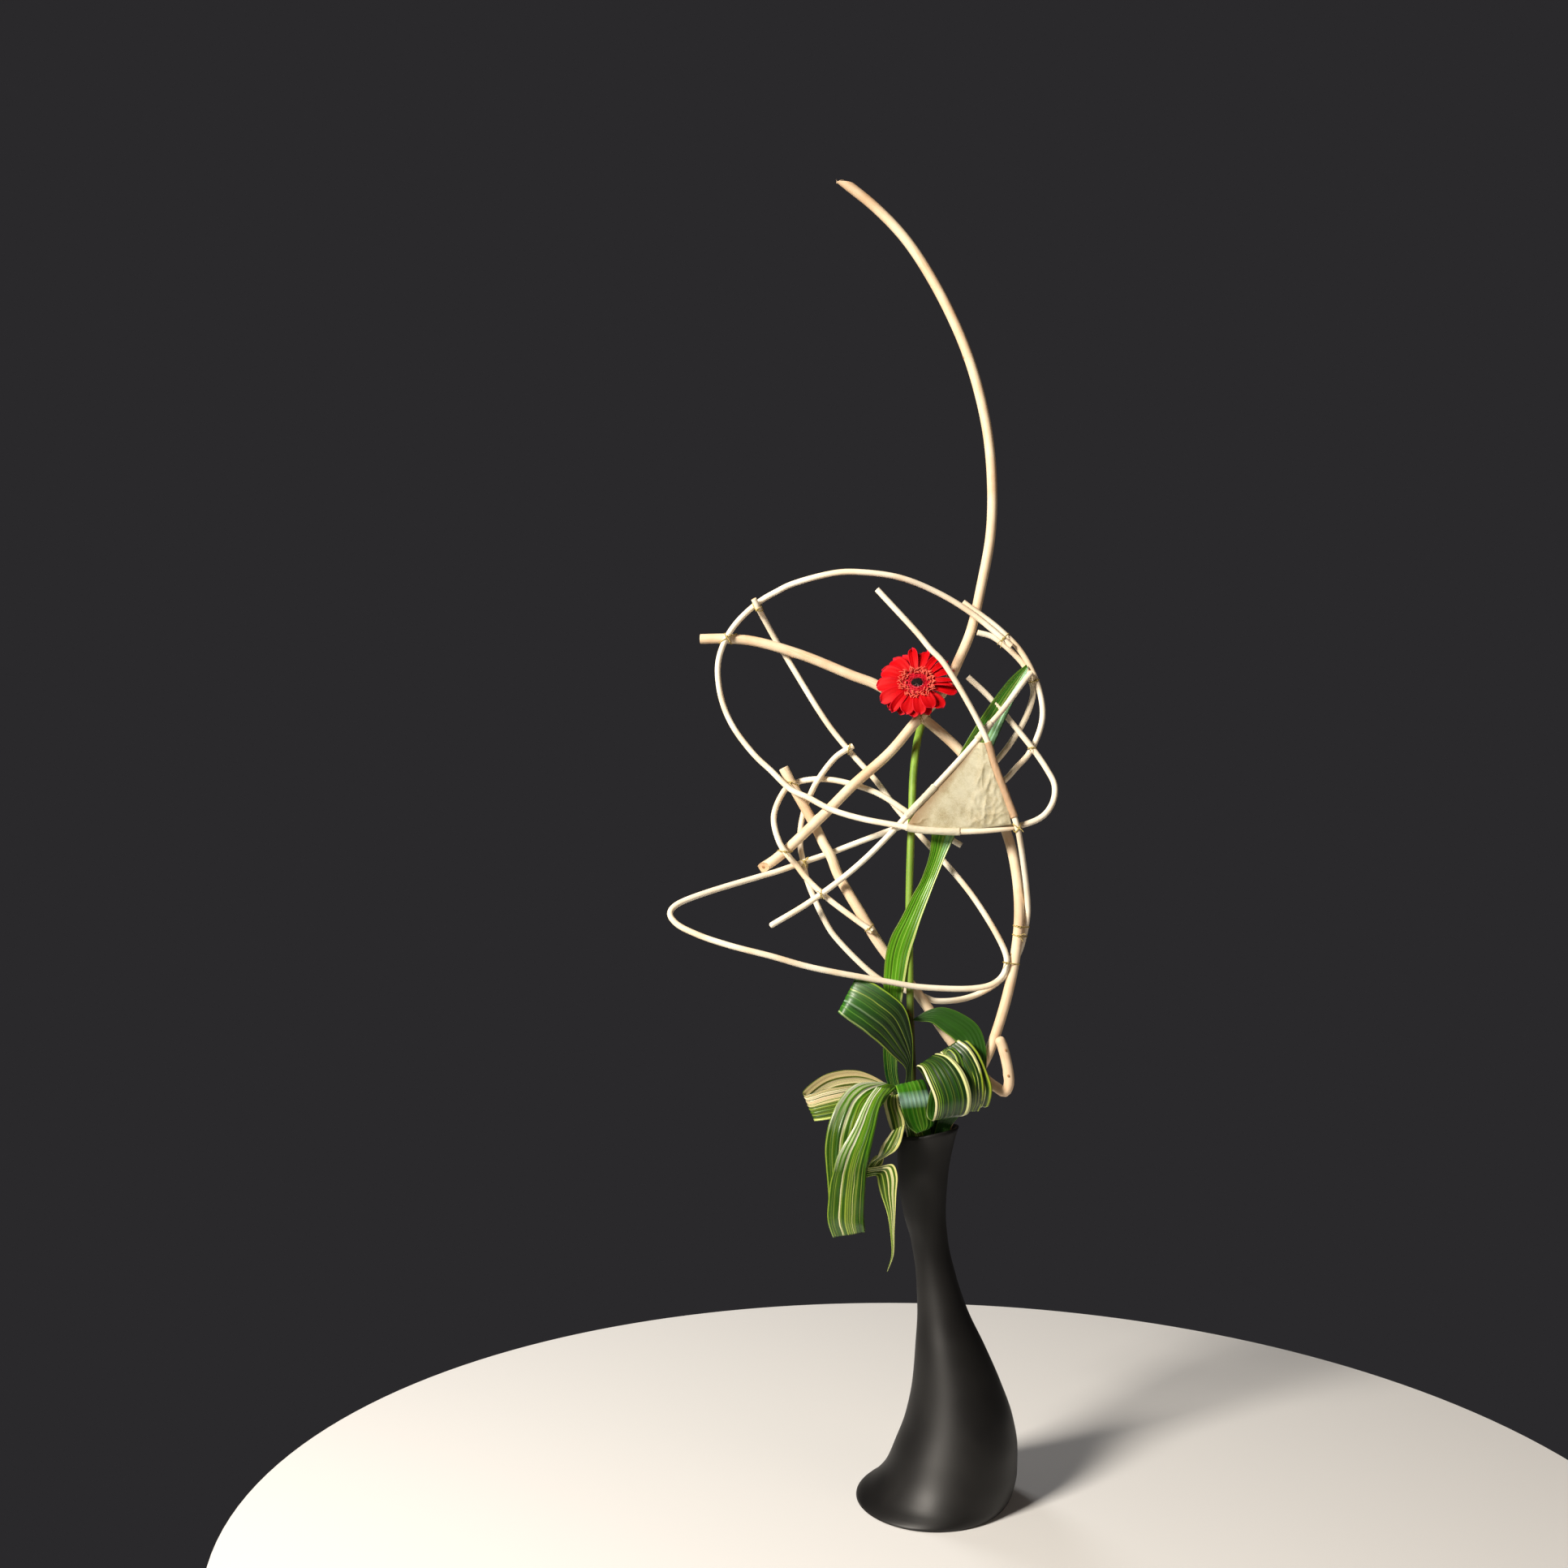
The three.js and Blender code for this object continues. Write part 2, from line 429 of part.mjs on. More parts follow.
function gerbera() {
  const frame = headFrame();
  const rays = rayFlorets();
  const floretsCut = solid(
    new THREE.CylinderGeometry(DISC_RADIUS, DISC_RADIUS, 30, 24)
      .rotateX(Math.PI / 2)
      .translate(0, 0, DISC_LEVEL - GAP + 15),
  );
  add("gerbera_ray_florets", geometryOf(rays.subtract(floretsCut)).applyMatrix4(frame), PETAL);
  add("gerbera_disc_florets", geometryOf(discFlorets()).applyMatrix4(frame), FLORET);
  const eye = new THREE.SphereGeometry(EYE_RADIUS - GAP, 12, 8).scale(1, 1, 0.55).translate(0, 0, DISC_LEVEL + 3.4);
  add("gerbera_eye", eye.applyMatrix4(frame), EYE);
  const cup = [[0, -11], [4, -11], [8.5, -7], [11.5, -3.4], [0, -3.4]].map(([x, y]) => new THREE.Vector2(x, y));
  const calyx = new THREE.LatheGeometry(cup, 14).rotateX(Math.PI / 2).applyMatrix4(frame);
  add("gerbera_stem", geometryOf(solid(rod(path(STEM_PATH), STEM_RADIUS, 8, 21)).add(solid(calyx))), STEM);
}
gerbera();
add("paper_triangle", paperTriangle(), PAPER);

// ---------- Vase ----------
// Each level is an ellipse: height, left edge, right edge, half depth. The body leans and swells as it rises.
const VASE_LEVELS = [
  [0, -76, 68, 86], [4, -72, 72, 84], [12, -61, 76, 78], [28, -47, 79.5, 71], [50, -37, 80, 64],
  [76, -27, 76, 56], [109, -20, 64.5, 46], [143, -17, 49.5, 36], [175, -15, 34, 27], [207, -16, 23, 21.5],
  [242, -21, 15, 19], [268, -28, 13, 20.5], [303, -33, 15.5, 24], [330, -34, 21, 26.5], [346, -33, 26, 29],
];
const MOUTH_SLANT = 0.18; // the mouth rises to the right
const VASE_TOP = VASE_LEVELS.at(-1)[0];
const SLANT_FROM = 250; // the slant fades in from this height
const LIP = { rise: 1.4, inset: 1.6 }; // the lip is a little higher than the wall, and rounded in
const BOTTOM_ROUNDING = { rise: 2, inset: 8 }; // where the inner wall turns into the bottom

// A closed lathe of unit radius, each point carried to its level's ellipse, then pulled in by the wall.
function vaseSolid(profile, segments = 28) {
  const lathe = new THREE.LatheGeometry(profile.map(({ z, axis }) => new THREE.Vector2(axis ? 0 : 1, z)), segments);
  lathe.rotateX(Math.PI / 2);
  const positions = lathe.attributes.position;
  const perColumn = profile.length;
  for (let i = 0; i < positions.count; i++) {
    const { z, inset, axis } = profile[i % perColumn];
    const { centre, wide, deep } = levelAt(z);
    const reach = axis ? 0 : 1;
    const angle = Math.atan2(positions.getY(i), positions.getX(i));
    const x = reach * Math.cos(angle) * (wide - inset);
    const rise = MOUTH_SLANT * x * THREE.MathUtils.smoothstep(z, SLANT_FROM, VASE_TOP);
    positions.setXYZ(i, centre + x, reach * Math.sin(angle) * (deep - inset), z + rise);
  }
  return lathe;
}

function levelAt(z) {
  const last = VASE_LEVELS.length - 1;
  let i = VASE_LEVELS.findIndex((level) => level[0] >= z);
  if (i < 1) i = i === 0 ? 1 : last;
  const [z0, l0, r0, d0] = VASE_LEVELS[i - 1];
  const [z1, l1, r1, d1] = VASE_LEVELS[i];
  const share = (z - z0) / (z1 - z0);
  const mix = (a, b) => a + (b - a) * share;
  return { centre: (mix(l0, l1) + mix(r0, r1)) / 2, wide: (mix(r0, r1) - mix(l0, l1)) / 2, deep: mix(d0, d1) };
}

function vase() {
  const outer = VASE_LEVELS.map(([z]) => ({ z, inset: 0 }));
  const inner = VASE_LEVELS.filter(([z]) => z > VASE_FLOOR).map(([z]) => ({ z, inset: VASE_WALL })).reverse();
  inner[0].inset -= 1.5; // the wall thins towards the lip
  return vaseSolid([
    { z: 0, inset: 0, axis: true },
    ...outer,
    { z: VASE_TOP + LIP.rise, inset: LIP.inset },
    ...inner,
    { z: VASE_FLOOR + BOTTOM_ROUNDING.rise, inset: VASE_WALL + BOTTOM_ROUNDING.inset },
    { z: VASE_FLOOR, inset: VASE_WALL, axis: true },
  ]);
}
add("vase", vase(), MATTE_BLACK);

// The water fills the vase to just under its mouth; each stem and leaf foot stands in a plain hole in it.
function water() {
  const inset = VASE_WALL + GAP;
  const body = VASE_LEVELS.filter(([z]) => z > VASE_FLOOR).map(([z]) => ({ z, inset }));
  const filled = solid(
    vaseSolid([
      { z: VASE_FLOOR + GAP, inset, axis: true },
      { z: VASE_FLOOR + BOTTOM_ROUNDING.rise + GAP, inset: inset + BOTTOM_ROUNDING.inset },
      ...body,
      { z: VASE_TOP, inset, axis: true },
    ]),
  ).trimByPlane([0, 0, -1], -WATER_TOP);
  const lowered = ([x, y, z]) => [x, y, z - HOLE_DROP];
  const upright = path([...MAIN_UPRIGHT.slice(0, -1), lowered(MAIN_UPRIGHT.at(-1))]);
  const stem = path([lowered(STEM_PATH[0]), ...STEM_PATH.slice(1)]);
  const holes = [
    solid(rod(upright, (BRANCH_RADIUS + GAP) * HOLE_SPARE, 8, 24)),
    solid(rod(stem, (STEM_RADIUS + GAP) * HOLE_SPARE, 8, 21)),
  ];
  for (const rows of Object.values(LEAVES))
    holes.push(solid(blade([rows[0].map(lowered), ...rows.slice(1)], LEAF_THICKNESS, 1.4 * GAP)));
  return geometryOf(holes.reduce((left, hole) => left.subtract(hole), filled));
}
add("water", water(), WATER);

export default part;
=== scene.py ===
"""The looks of a free-style ikebana arrangement and the vase that it stands in.

Peeled branches and withies are lashed with twine into an open cage round one gerbera and a triangle of
paper, with seven striped leaves curled round the mouth of a matte black vase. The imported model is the
fixed frame: every piece here stands for one of its nodes and follows the same waypoints, in millimetres,
which one function turns to metres.
"""

from __future__ import annotations

import json
import logging
import math
import random
from dataclasses import dataclass, field
from enum import Enum
from typing import Callable, Iterable, Sequence

import bmesh
import bpy
from mathutils import Matrix, Vector, noise

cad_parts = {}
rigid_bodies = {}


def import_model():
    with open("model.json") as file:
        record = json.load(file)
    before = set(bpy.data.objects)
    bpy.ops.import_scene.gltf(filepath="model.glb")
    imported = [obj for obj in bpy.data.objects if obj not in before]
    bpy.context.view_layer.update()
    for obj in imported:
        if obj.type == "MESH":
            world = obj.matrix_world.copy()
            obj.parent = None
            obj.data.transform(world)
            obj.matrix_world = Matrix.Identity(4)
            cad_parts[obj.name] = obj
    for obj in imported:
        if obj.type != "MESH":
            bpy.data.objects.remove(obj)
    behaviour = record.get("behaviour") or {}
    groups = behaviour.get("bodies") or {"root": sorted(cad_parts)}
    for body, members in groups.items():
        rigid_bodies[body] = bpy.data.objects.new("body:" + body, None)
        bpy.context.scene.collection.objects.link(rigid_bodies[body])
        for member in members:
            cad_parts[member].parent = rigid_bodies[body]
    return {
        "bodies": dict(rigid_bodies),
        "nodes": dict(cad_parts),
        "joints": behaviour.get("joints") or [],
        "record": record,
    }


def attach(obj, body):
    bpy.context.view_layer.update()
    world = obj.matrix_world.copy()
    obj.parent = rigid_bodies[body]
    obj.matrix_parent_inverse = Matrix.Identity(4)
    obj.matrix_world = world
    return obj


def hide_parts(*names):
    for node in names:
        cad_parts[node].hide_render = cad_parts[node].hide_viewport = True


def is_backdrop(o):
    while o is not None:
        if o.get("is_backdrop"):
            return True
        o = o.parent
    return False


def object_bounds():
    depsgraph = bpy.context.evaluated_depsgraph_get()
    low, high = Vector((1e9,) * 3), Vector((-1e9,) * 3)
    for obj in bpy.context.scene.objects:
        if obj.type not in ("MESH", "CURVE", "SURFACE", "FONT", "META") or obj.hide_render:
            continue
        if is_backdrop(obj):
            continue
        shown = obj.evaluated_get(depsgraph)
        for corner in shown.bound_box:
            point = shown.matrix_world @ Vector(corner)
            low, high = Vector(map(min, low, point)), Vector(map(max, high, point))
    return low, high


LOG = logging.getLogger("ikebana")
MM = 0.001

Point = tuple[float, float, float]
Row = tuple[Point, Point]
Place = Callable[[float, float], Vector]

UP, BACKWARD = Vector((0, 0, 1)), Vector((0, 1, 0))
TURN = 2 * math.pi


class Slot(Enum):
    """The record's material slots of the pieces that are built here."""

    WOOD = "peeled_wood"
    TWINE = "twine"
    LEAF = "leaf"
    PETAL = "red_petal"
    FLORET = "coral_floret"
    EYE = "dark_eye"
    STEM = "stem"
    PAPER = "paper"
    CERAMIC = "black_ceramic"


class EndCut(Enum):
    """How the end of a stick is finished."""

    SAWN = "sawn square with a softened rim"
    ROUNDED = "rubbed round"
    SLANTED = "cut level across a leaning stick, with torn fibres"
    OBLIQUE = "cut at a slant that faces forwards and shows the pith"


# ---------------------------------------------------------------- helpers


def metres(point: Point) -> Vector:
    """Turns a point in millimetres into metres."""
    return Vector(point) * MM


def smooth(low: float, high: float, value: float) -> float:
    """Eases from 0 at low to 1 at high."""
    share = min(1.0, max(0.0, (value - low) / (high - low)))
    return share * share * (3 - 2 * share)


def srgb(code: str, alpha: float = 1.0) -> tuple[float, float, float, float]:
    """Turns an sRGB hex value into linear RGBA.

    Args:
        code: the value, with its hash sign.
        alpha: the opacity.

    Returns:
        Red, green, blue and alpha, from 0 to 1.
    """
    channels = [int(code[i : i + 2], 16) / 255 for i in (1, 3, 5)]
    linear = [c / 12.92 if c <= 0.04045 else ((c + 0.055) / 1.055) ** 2.4 for c in channels]
    return (*linear, alpha)


class Route:
    """A centripetal Catmull-Rom curve through waypoints, with places by share and by distance."""

    PER_SPAN = 24  # steps of the measured line between two waypoints

    def __init__(self, points: Iterable[Point | Vector], scale: float = MM) -> None:
        """Builds the curve.

        Args:
            points: the waypoints, in order.
            scale: what one unit of them is, in metres.
        """
        self.points = [Vector(p) * scale for p in points]
        first, last = self.points[0], self.points[-1]
        self._padded = [2 * first - self.points[1], *self.points, 2 * last - self.points[-2]]
        spans = len(self.points) - 1
        self._line = [self.at(i / (spans * self.PER_SPAN)) for i in range(spans * self.PER_SPAN + 1)]
        self._reach = [0.0]
        for a, b in zip(self._line, self._line[1:]):
            self._reach.append(self._reach[-1] + (b - a).length)
        self.length = self._reach[-1]

    def at(self, share: float) -> Vector:
        """The point at a share of the waypoints, from 0 to 1.

        Args:
            share: how far through the waypoints.

        Returns:
            The point, in metres.
        """
        spans = len(self.points) - 1
        place = min(1.0, max(0.0, share)) * spans
        span = min(int(place), spans - 1)
        p0, p1, p2, p3 = self._padded[span : span + 4]
        d0, d1, d2 = (max(1e-6, math.sqrt((b - a).length)) for a, b in ((p0, p1), (p1, p2), (p2, p3)))
        t1 = ((p1 - p0) / d0 - (p2 - p0) / (d0 + d1) + (p2 - p1) / d1) * d1
        t2 = ((p2 - p1) / d1 - (p3 - p1) / (d1 + d2) + (p3 - p2) / d2) * d1
        s = place - span
        square, cube = (3 * (p2 - p1) - 2 * t1 - t2) * s * s, (2 * (p1 - p2) + t1 + t2) * s * s * s
        return p1 + t1 * s + square + cube

    def along(self, distance: float) -> Vector:
        """The point at a distance from the start, carried straight on past either end.

        Args:
            distance: in metres along the curve.

        Returns:
            The point, in metres.
        """
        line = self._line
        if distance < 0:
            return line[0] + (line[0] - line[1]).normalized() * -distance
        if distance > self.length:
            return line[-1] + (line[-1] - line[-2]).normalized() * (distance - self.length)
        low, high = 0, len(self._reach) - 1
        while high - low > 1:
            middle = (low + high) // 2
            if self._reach[middle] <= distance:
                low = middle
            else:
                high = middle
        share = (distance - self._reach[low]) / max(1e-9, self._reach[high] - self._reach[low])
        return line[low].lerp(line[high], share)

    def heading(self, distance: float, step: float = 0.0008) -> Vector:
        """The direction of travel at a distance."""
        return (self.along(distance + step) - self.along(distance - step)).normalized()

    def nearest(self, place: Vector) -> float:
        """The distance along the curve of the point that is nearest to a place."""
        best = min(range(len(self._line)), key=lambda i: (self._line[i] - place).length_squared)
        return self._reach[best]

    def frames(self, stations: Sequence[float], start: Vector) -> list[tuple[Vector, Vector, Vector]]:
        """Point, first and second cross direction at each station, turned as little as can be.

        Args:
            stations: distances along the curve, rising.
            start: roughly where the first cross direction points at the first station.

        Returns:
            One (point, first, second) for each station.
        """
        made = []
        first = start
        for distance in stations:
            heading = self.heading(distance)
            first = (first - heading * first.dot(heading)).normalized()
            made.append((self.along(distance), first, heading.cross(first)))
        return made


@dataclass
class Draft:
    """A mesh under construction, made from bmesh's own grids and shapes."""

    name: str
    bm: bmesh.types.BMesh = field(default_factory=bmesh.new)

    SEAM = 2e-6  # points nearer than this, in metres, become one

    def sheet(
        self, across: int, along: int, place: Place, size: tuple[float, float] = (1.0, 1.0),
        finish: int = 0, weld: bool = False,
    ) -> list[bmesh.types.BMVert]:
        """Adds a grid and carries each of its points to its place.

        Args:
            across: faces from u = 0 to 1.
            along: faces from v = 0 to 1.
            place: where the point at (u, v) goes.
            size: what the UV map's unit square measures, in metres or shares.
            finish: the index of the finish.
            weld: whether points that meet become one, as along the seam of a tube.

        Returns:
            The vertices.
        """
        made = bmesh.ops.create_grid(self.bm, x_segments=across, y_segments=along, size=0.5)["verts"]
        layer = self.bm.loops.layers.uv.verify()
        spots = {vert: (vert.co.x + 0.5, vert.co.y + 0.5) for vert in made}
        for face in {face for vert in made for face in vert.link_faces}:
            face.material_index = finish
            face.smooth = True
            for loop in face.loops:
                u, v = spots[loop.vert]
                loop[layer].uv = (u * size[0], v * size[1])
        for vert, (u, v) in spots.items():
            vert.co = place(u, v)
        if weld:
            bmesh.ops.remove_doubles(self.bm, verts=made, dist=self.SEAM)
            made = [vert for vert in made if vert.is_valid]
        return made

    def tube(
        self, route: Route, radius: Callable[[float, float], float], sides: int, stations: Sequence[float],
        finish: int = 0, start: Vector = BACKWARD,
    ) -> list[bmesh.types.BMVert]:
        """Adds an open tube along a route.

        Args:
            route: its centre line.
            radius: the radius at (distance, angle).
            sides: faces round it.
            stations: the distances of its rings.
            finish: the index of the finish.
            start: where the seam lies at the first ring.

        Returns:
            The vertices.
        """
        frames = route.frames(stations, start)
        last = len(stations) - 1
        girth = TURN * radius(stations[last // 2], 0.0)

        def place(u: float, v: float) -> Vector:
            """The point at a share round and a share along."""
            ring = round(v * last)
            point, first, second = frames[ring]
            angle = TURN * u
            reach = radius(stations[ring], angle)
            return point + first * (reach * math.cos(angle)) + second * (reach * math.sin(angle))

        return self.sheet(sides, last, place, (girth, route.length), finish, weld=True)

    def close(self, verts: Iterable[bmesh.types.BMVert], finish: int = 0) -> list[bmesh.types.BMFace]:
        """Fills the open rims among some vertices.

        Args:
            verts: the vertices.
            finish: the index of the finish of the new faces.

        Returns:
            The new faces.
        """
        rims = {edge for vert in verts if vert.is_valid for edge in vert.link_edges if edge.is_boundary}
        faces = bmesh.ops.holes_fill(self.bm, edges=list(rims), sides=0)["faces"]
        for face in faces:
            face.material_index = finish
        return faces

    def ball(self, centre: Vector, axes: Sequence[Vector], finish: int = 0, detail: int = 2) -> None:
        """Adds an egg-shaped lump whose half axes are given.

        Args:
            centre: its middle.
            axes: the three half axes.
            finish: the index of the finish.
            detail: how often its faces are divided.
        """
        made = bmesh.ops.create_icosphere(self.bm, subdivisions=detail, radius=1.0)["verts"]
        for vert in made:
            x, y, z = vert.co
            vert.co = centre + axes[0] * x + axes[1] * y + axes[2] * z
        self.paint(made, finish, smooth_too=True)

    def cone(self, sides: int, radii: tuple[float, float], depth: float, matrix: Matrix, finish: int = 0) -> None:
        """Adds a capped cone, whose sizes are in its matrix's own unit.

        Args:
            sides: faces round it.
            radii: at its lower and its upper end.
            depth: from end to end.
            matrix: its place.
            finish: the index of the finish.
        """
        made = bmesh.ops.create_cone(
            self.bm, cap_ends=True, segments=sides, radius1=radii[0], radius2=radii[1], depth=depth, matrix=matrix
        )["verts"]
        self.paint(made, finish)

    @staticmethod
    def paint(verts: Iterable[bmesh.types.BMVert], finish: int, smooth_too: bool = False) -> None:
        """Gives the faces at some vertices their finish, and smooth shading where it is asked for.

        Args:
            verts: the vertices.
            finish: the index of the finish.
            smooth_too: whether they are also shaded smooth.
        """
        for face in {face for vert in verts for face in vert.link_faces}:
            face.material_index = finish
            face.smooth = face.smooth or smooth_too

    def piece(
        self, finishes: Sequence[Finish], slot: Slot, node: str, sharp_deg: float, outward: bool = True
    ) -> bpy.types.Object:
        """Makes the finished object, which rides on the root body and replaces its node.

        Args:
            finishes: the finishes, by the index that the faces hold.
            slot: the record's material slot; not used.
            node: the node that the piece stands for.
            sharp_deg: edges turned more than this stay crisp.
            outward: whether the normals are worked out anew, as on closed shapes.

        Returns:
            The object.
        """
        if outward:
            bmesh.ops.recalc_face_normals(self.bm, faces=self.bm.faces[:])
        mesh = bpy.data.meshes.new(self.name)
        self.bm.to_mesh(mesh)
        self.bm.free()
        mesh.set_sharp_from_angle(angle=math.radians(sharp_deg))
        for finish in finishes:
            mesh.materials.append(finish.material())
        made = bpy.data.objects.new(self.name, mesh)
        bpy.context.scene.collection.objects.link(made)
        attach(made, "root")
        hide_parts(node)
        LOG.info("%s: %d faces for %s", self.name, len(mesh.polygons), node)
        return made


def thicken(piece: bpy.types.Object, thickness: float, underside: int = 0) -> None:
    """Gives a sheet its thickness, half to each side.

    Args:
        piece: the sheet.
        thickness: in metres.
        underside: how many finishes further on the underside's and the rim's is.
    """
    solid = piece.modifiers.new("thickness", "SOLIDIFY")
    solid.thickness = thickness
    solid.offset = 0
    solid.material_offset = underside
    solid.material_offset_rim = underside


# ---------------------------------------------------------------- finishes

Stops = Sequence[tuple[float, str]]
Inputs = dict[str | int, object]
MIX_UNDER, MIX_OVER, MIXED = 6, 7, 2  # the places of a colour mix's two inputs and its output


def put(
    tree: bpy.types.NodeTree, kind: str, inputs: Inputs | None = None, stops: Stops = (), **settings: object
) -> bpy.types.Node:
    """Adds a node with its settings, and sets or links its inputs.

    Args:
        tree: the node tree that it goes into.
        kind: the node's type, without the word that every shader node's starts with.
        inputs: for each input, by name or place, a value, a socket, or a node whose first output is meant.
        stops: the places and sRGB hex colours of a colour ramp.
        settings: the node's own properties.

    Returns:
        The node.
    """
    node = tree.nodes.new("ShaderNode" + kind)
    for key, value in settings.items():
        setattr(node, key, value)
    for key, value in (inputs or {}).items():
        source = value.outputs[0] if isinstance(value, bpy.types.Node) else value
        if isinstance(source, bpy.types.NodeSocket):
            tree.links.new(source, node.inputs[key])
        else:
            node.inputs[key].default_value = source
    if stops:
        elements = node.color_ramp.elements
        elements.remove(elements[-1])
        elements[0].position, elements[0].color = stops[0][0], srgb(stops[0][1])
        for place, code in stops[1:]:
            elements.new(place).color = srgb(code)
    return node


def per(size_mm: float) -> float:
    """The scale of a pattern that repeats once in so many millimetres."""
    return 1 / (size_mm * MM)


@dataclass(frozen=True)
class Finish:
    """What all finishes share: a material that is made once, with one shader that the finish fills in."""

    name: str

    def shader(self, tree: bpy.types.NodeTree) -> Inputs:
        """Lays the nodes of the pattern and returns the inputs of the shader."""
        raise NotImplementedError

    def material(self) -> bpy.types.Material:
        """The material, built at the first call and then shared by every piece that has it.

        Returns:
            The material.
        """
        found = bpy.data.materials.get(self.name)
        if found:
            return found
        made = bpy.data.materials.new(self.name)
        made.use_nodes = True
        tree = made.node_tree
        tree.nodes.clear()
        put(tree, "OutputMaterial", {"Surface": put(tree, "BsdfPrincipled", self.shader(tree))})
        return made


@dataclass(frozen=True)
class PeeledCane(Finish):
    """Rattan or willow with its bark peeled off and dried: dull, creamy, streaked along the fibre."""

    pale: str
    warm: str
    blush: str
    streak_mm: float

    def shader(self, tree: bpy.types.NodeTree) -> Inputs:
        """Fibre streaks a millimetre wide and some centimetres long, and a soft blush.

        Args:
            tree: the material's node tree.

        Returns:
            The inputs of the shader.
        """
        spot = put(tree, "TexCoord").outputs
        stretched = put(tree, "Mapping", {"Vector": spot["UV"], "Scale": (per(self.streak_mm), per(45), 1.0)})
        fibre = put(tree, "TexNoise", {"Vector": stretched, "Scale": 1.0, "Detail": 5.0, "Roughness": 0.6})
        tone = put(tree, "ValToRGB", {"Fac": fibre}, ((0.28, self.warm), (0.46, self.pale), (0.75, self.pale)))
        cloudy = {"Scale": per(38), "Detail": 3.0, "Roughness": 0.55}
        cloud = put(tree, "TexNoise", {"Vector": spot["Object"], **cloudy})
        share = put(tree, "MapRange", {"Value": cloud, "From Min": 0.42, "From Max": 0.72, "To Max": 0.75})
        blushed = {"Factor": share, MIX_UNDER: tone, MIX_OVER: srgb(self.blush)}
        mixed = put(tree, "Mix", blushed, data_type="RGBA").outputs[MIXED]
        fine = put(tree, "Mapping", {"Vector": spot["UV"], "Scale": (per(0.35), per(14), 1.0)})
        ridges = put(tree, "TexNoise", {"Vector": fine, "Scale": 1.0, "Detail": 3.0})
        bump = put(tree, "Bump", {"Height": ridges, "Strength": 0.25, "Distance": 0.12 * MM})
        return {"Base Color": mixed, "Roughness": 0.56, "IOR": 1.5, "Normal": bump}


@dataclass(frozen=True)
class EndGrain(Finish):
    """Sawn end of a cane: open pores and a darker pith, duller than the side."""

    pale: str
    dark: str

    def shader(self, tree: bpy.types.NodeTree) -> Inputs:
        """Pores 0.6 mm apart.

        Args:
            tree: the material's node tree.

        Returns:
            The inputs of the shader.
        """
        pores = put(tree, "TexVoronoi", {"Vector": put(tree, "TexCoord").outputs["Object"], "Scale": per(0.6)})
        tone = put(tree, "ValToRGB", {"Fac": pores}, ((0.1, self.dark), (0.45, self.pale), (1.0, self.pale)))
        bump = put(tree, "Bump", {"Height": pores, "Strength": 0.5, "Distance": 0.2 * MM})
        return {"Base Color": tone, "Roughness": 0.85, "Normal": bump}


@dataclass(frozen=True)
class WaxedTwine(Finish):
    """Two-ply waxed twine: olive and brass-coloured plies twisted together, with a dull gleam."""

    name: str = "waxed_twine"
    dark: str = "#6B5A26"
    light: str = "#C9B368"

    def shader(self, tree: bpy.types.NodeTree) -> Inputs:
        """Plies that cross the thread at a slant, 1.1 mm apart.

        Args:
            tree: the material's node tree.

        Returns:
            The inputs of the shader.
        """
        spot = put(tree, "TexCoord").outputs["UV"]
        slant = put(tree, "Mapping", {"Vector": spot, "Scale": (per(2.6), per(1.1), 1.0)})
        round_it, along, _ = put(tree, "SeparateXYZ", {"Vector": slant}).outputs
        total = put(tree, "Math", {0: round_it, 1: along}, operation="ADD")
        ply = put(tree, "Math", {0: total, 1: 1.0}, operation="PINGPONG")
        tone = put(tree, "ValToRGB", {"Fac": ply}, ((0.0, self.dark), (0.45, self.light), (1.0, self.light)))
        bump = put(tree, "Bump", {"Height": ply, "Strength": 0.6, "Distance": 0.15 * MM})
        return {"Base Color": tone, "Roughness": 0.45, "Normal": bump}


@dataclass(frozen=True)
class WashiPaper(Finish):
    """Thin handmade mulberry paper, glued and dried: creamy, long-fibred, with painted shadow along its left hem.
    """

    pale: str
    deep: str
    glue_and_shadow: str
    fibre: str

    def shader(self, tree: bpy.types.NodeTree) -> Inputs:
        """Cloudy pulp with long fibres some millimetres apart; light from behind glows through a little.

        Args:
            tree: the material's node tree.

        Returns:
            The inputs of the shader.
        """
        spot = put(tree, "TexCoord").outputs
        pulp = put(tree, "TexNoise", {"Vector": spot["Object"], "Scale": per(14), "Detail": 6.0, "Roughness": 0.62})
        colour = put(tree, "ValToRGB", {"Fac": pulp}, ((0.3, self.deep), (0.62, self.pale), (1.0, self.pale)))
        strands = put(
            tree, "TexNoise", {"Vector": spot["Object"], "Scale": per(2.2), "Detail": 4.0, "Distortion": 1.6}
        )
        line = put(tree, "MapRange", {"Value": strands, "From Min": 0.48, "From Max": 0.53, "To Max": 0.22})
        across = put(tree, "SeparateXYZ", {"Vector": spot["UV"]})
        # Painted shadow: brown along the left hem, where the diagonal withy shades the sheet. On a wrap the across
        # share stays tiny, so the same colour covers nearly all of it as its own glued tone.
        fade = {"From Min": 0.02, "From Max": 0.2, "To Min": 0.85, "To Max": 0.0}
        hem = put(tree, "MapRange", {"Value": across, **fade})
        for share, code in ((line, self.fibre), (hem, self.glue_and_shadow)):
            layer = {"Factor": share, MIX_UNDER: colour, MIX_OVER: srgb(code)}
            colour = put(tree, "Mix", layer, data_type="RGBA").outputs[MIXED]
        bump = put(tree, "Bump", {"Height": strands, "Strength": 0.25, "Distance": 0.2 * MM})
        return {
            "Base Color": colour, "Roughness": 0.62, "Subsurface Weight": 0.35,
            "Subsurface Radius": (0.003, 0.0024, 0.0016), "Subsurface Scale": 1.0, "Normal": bump,
        }


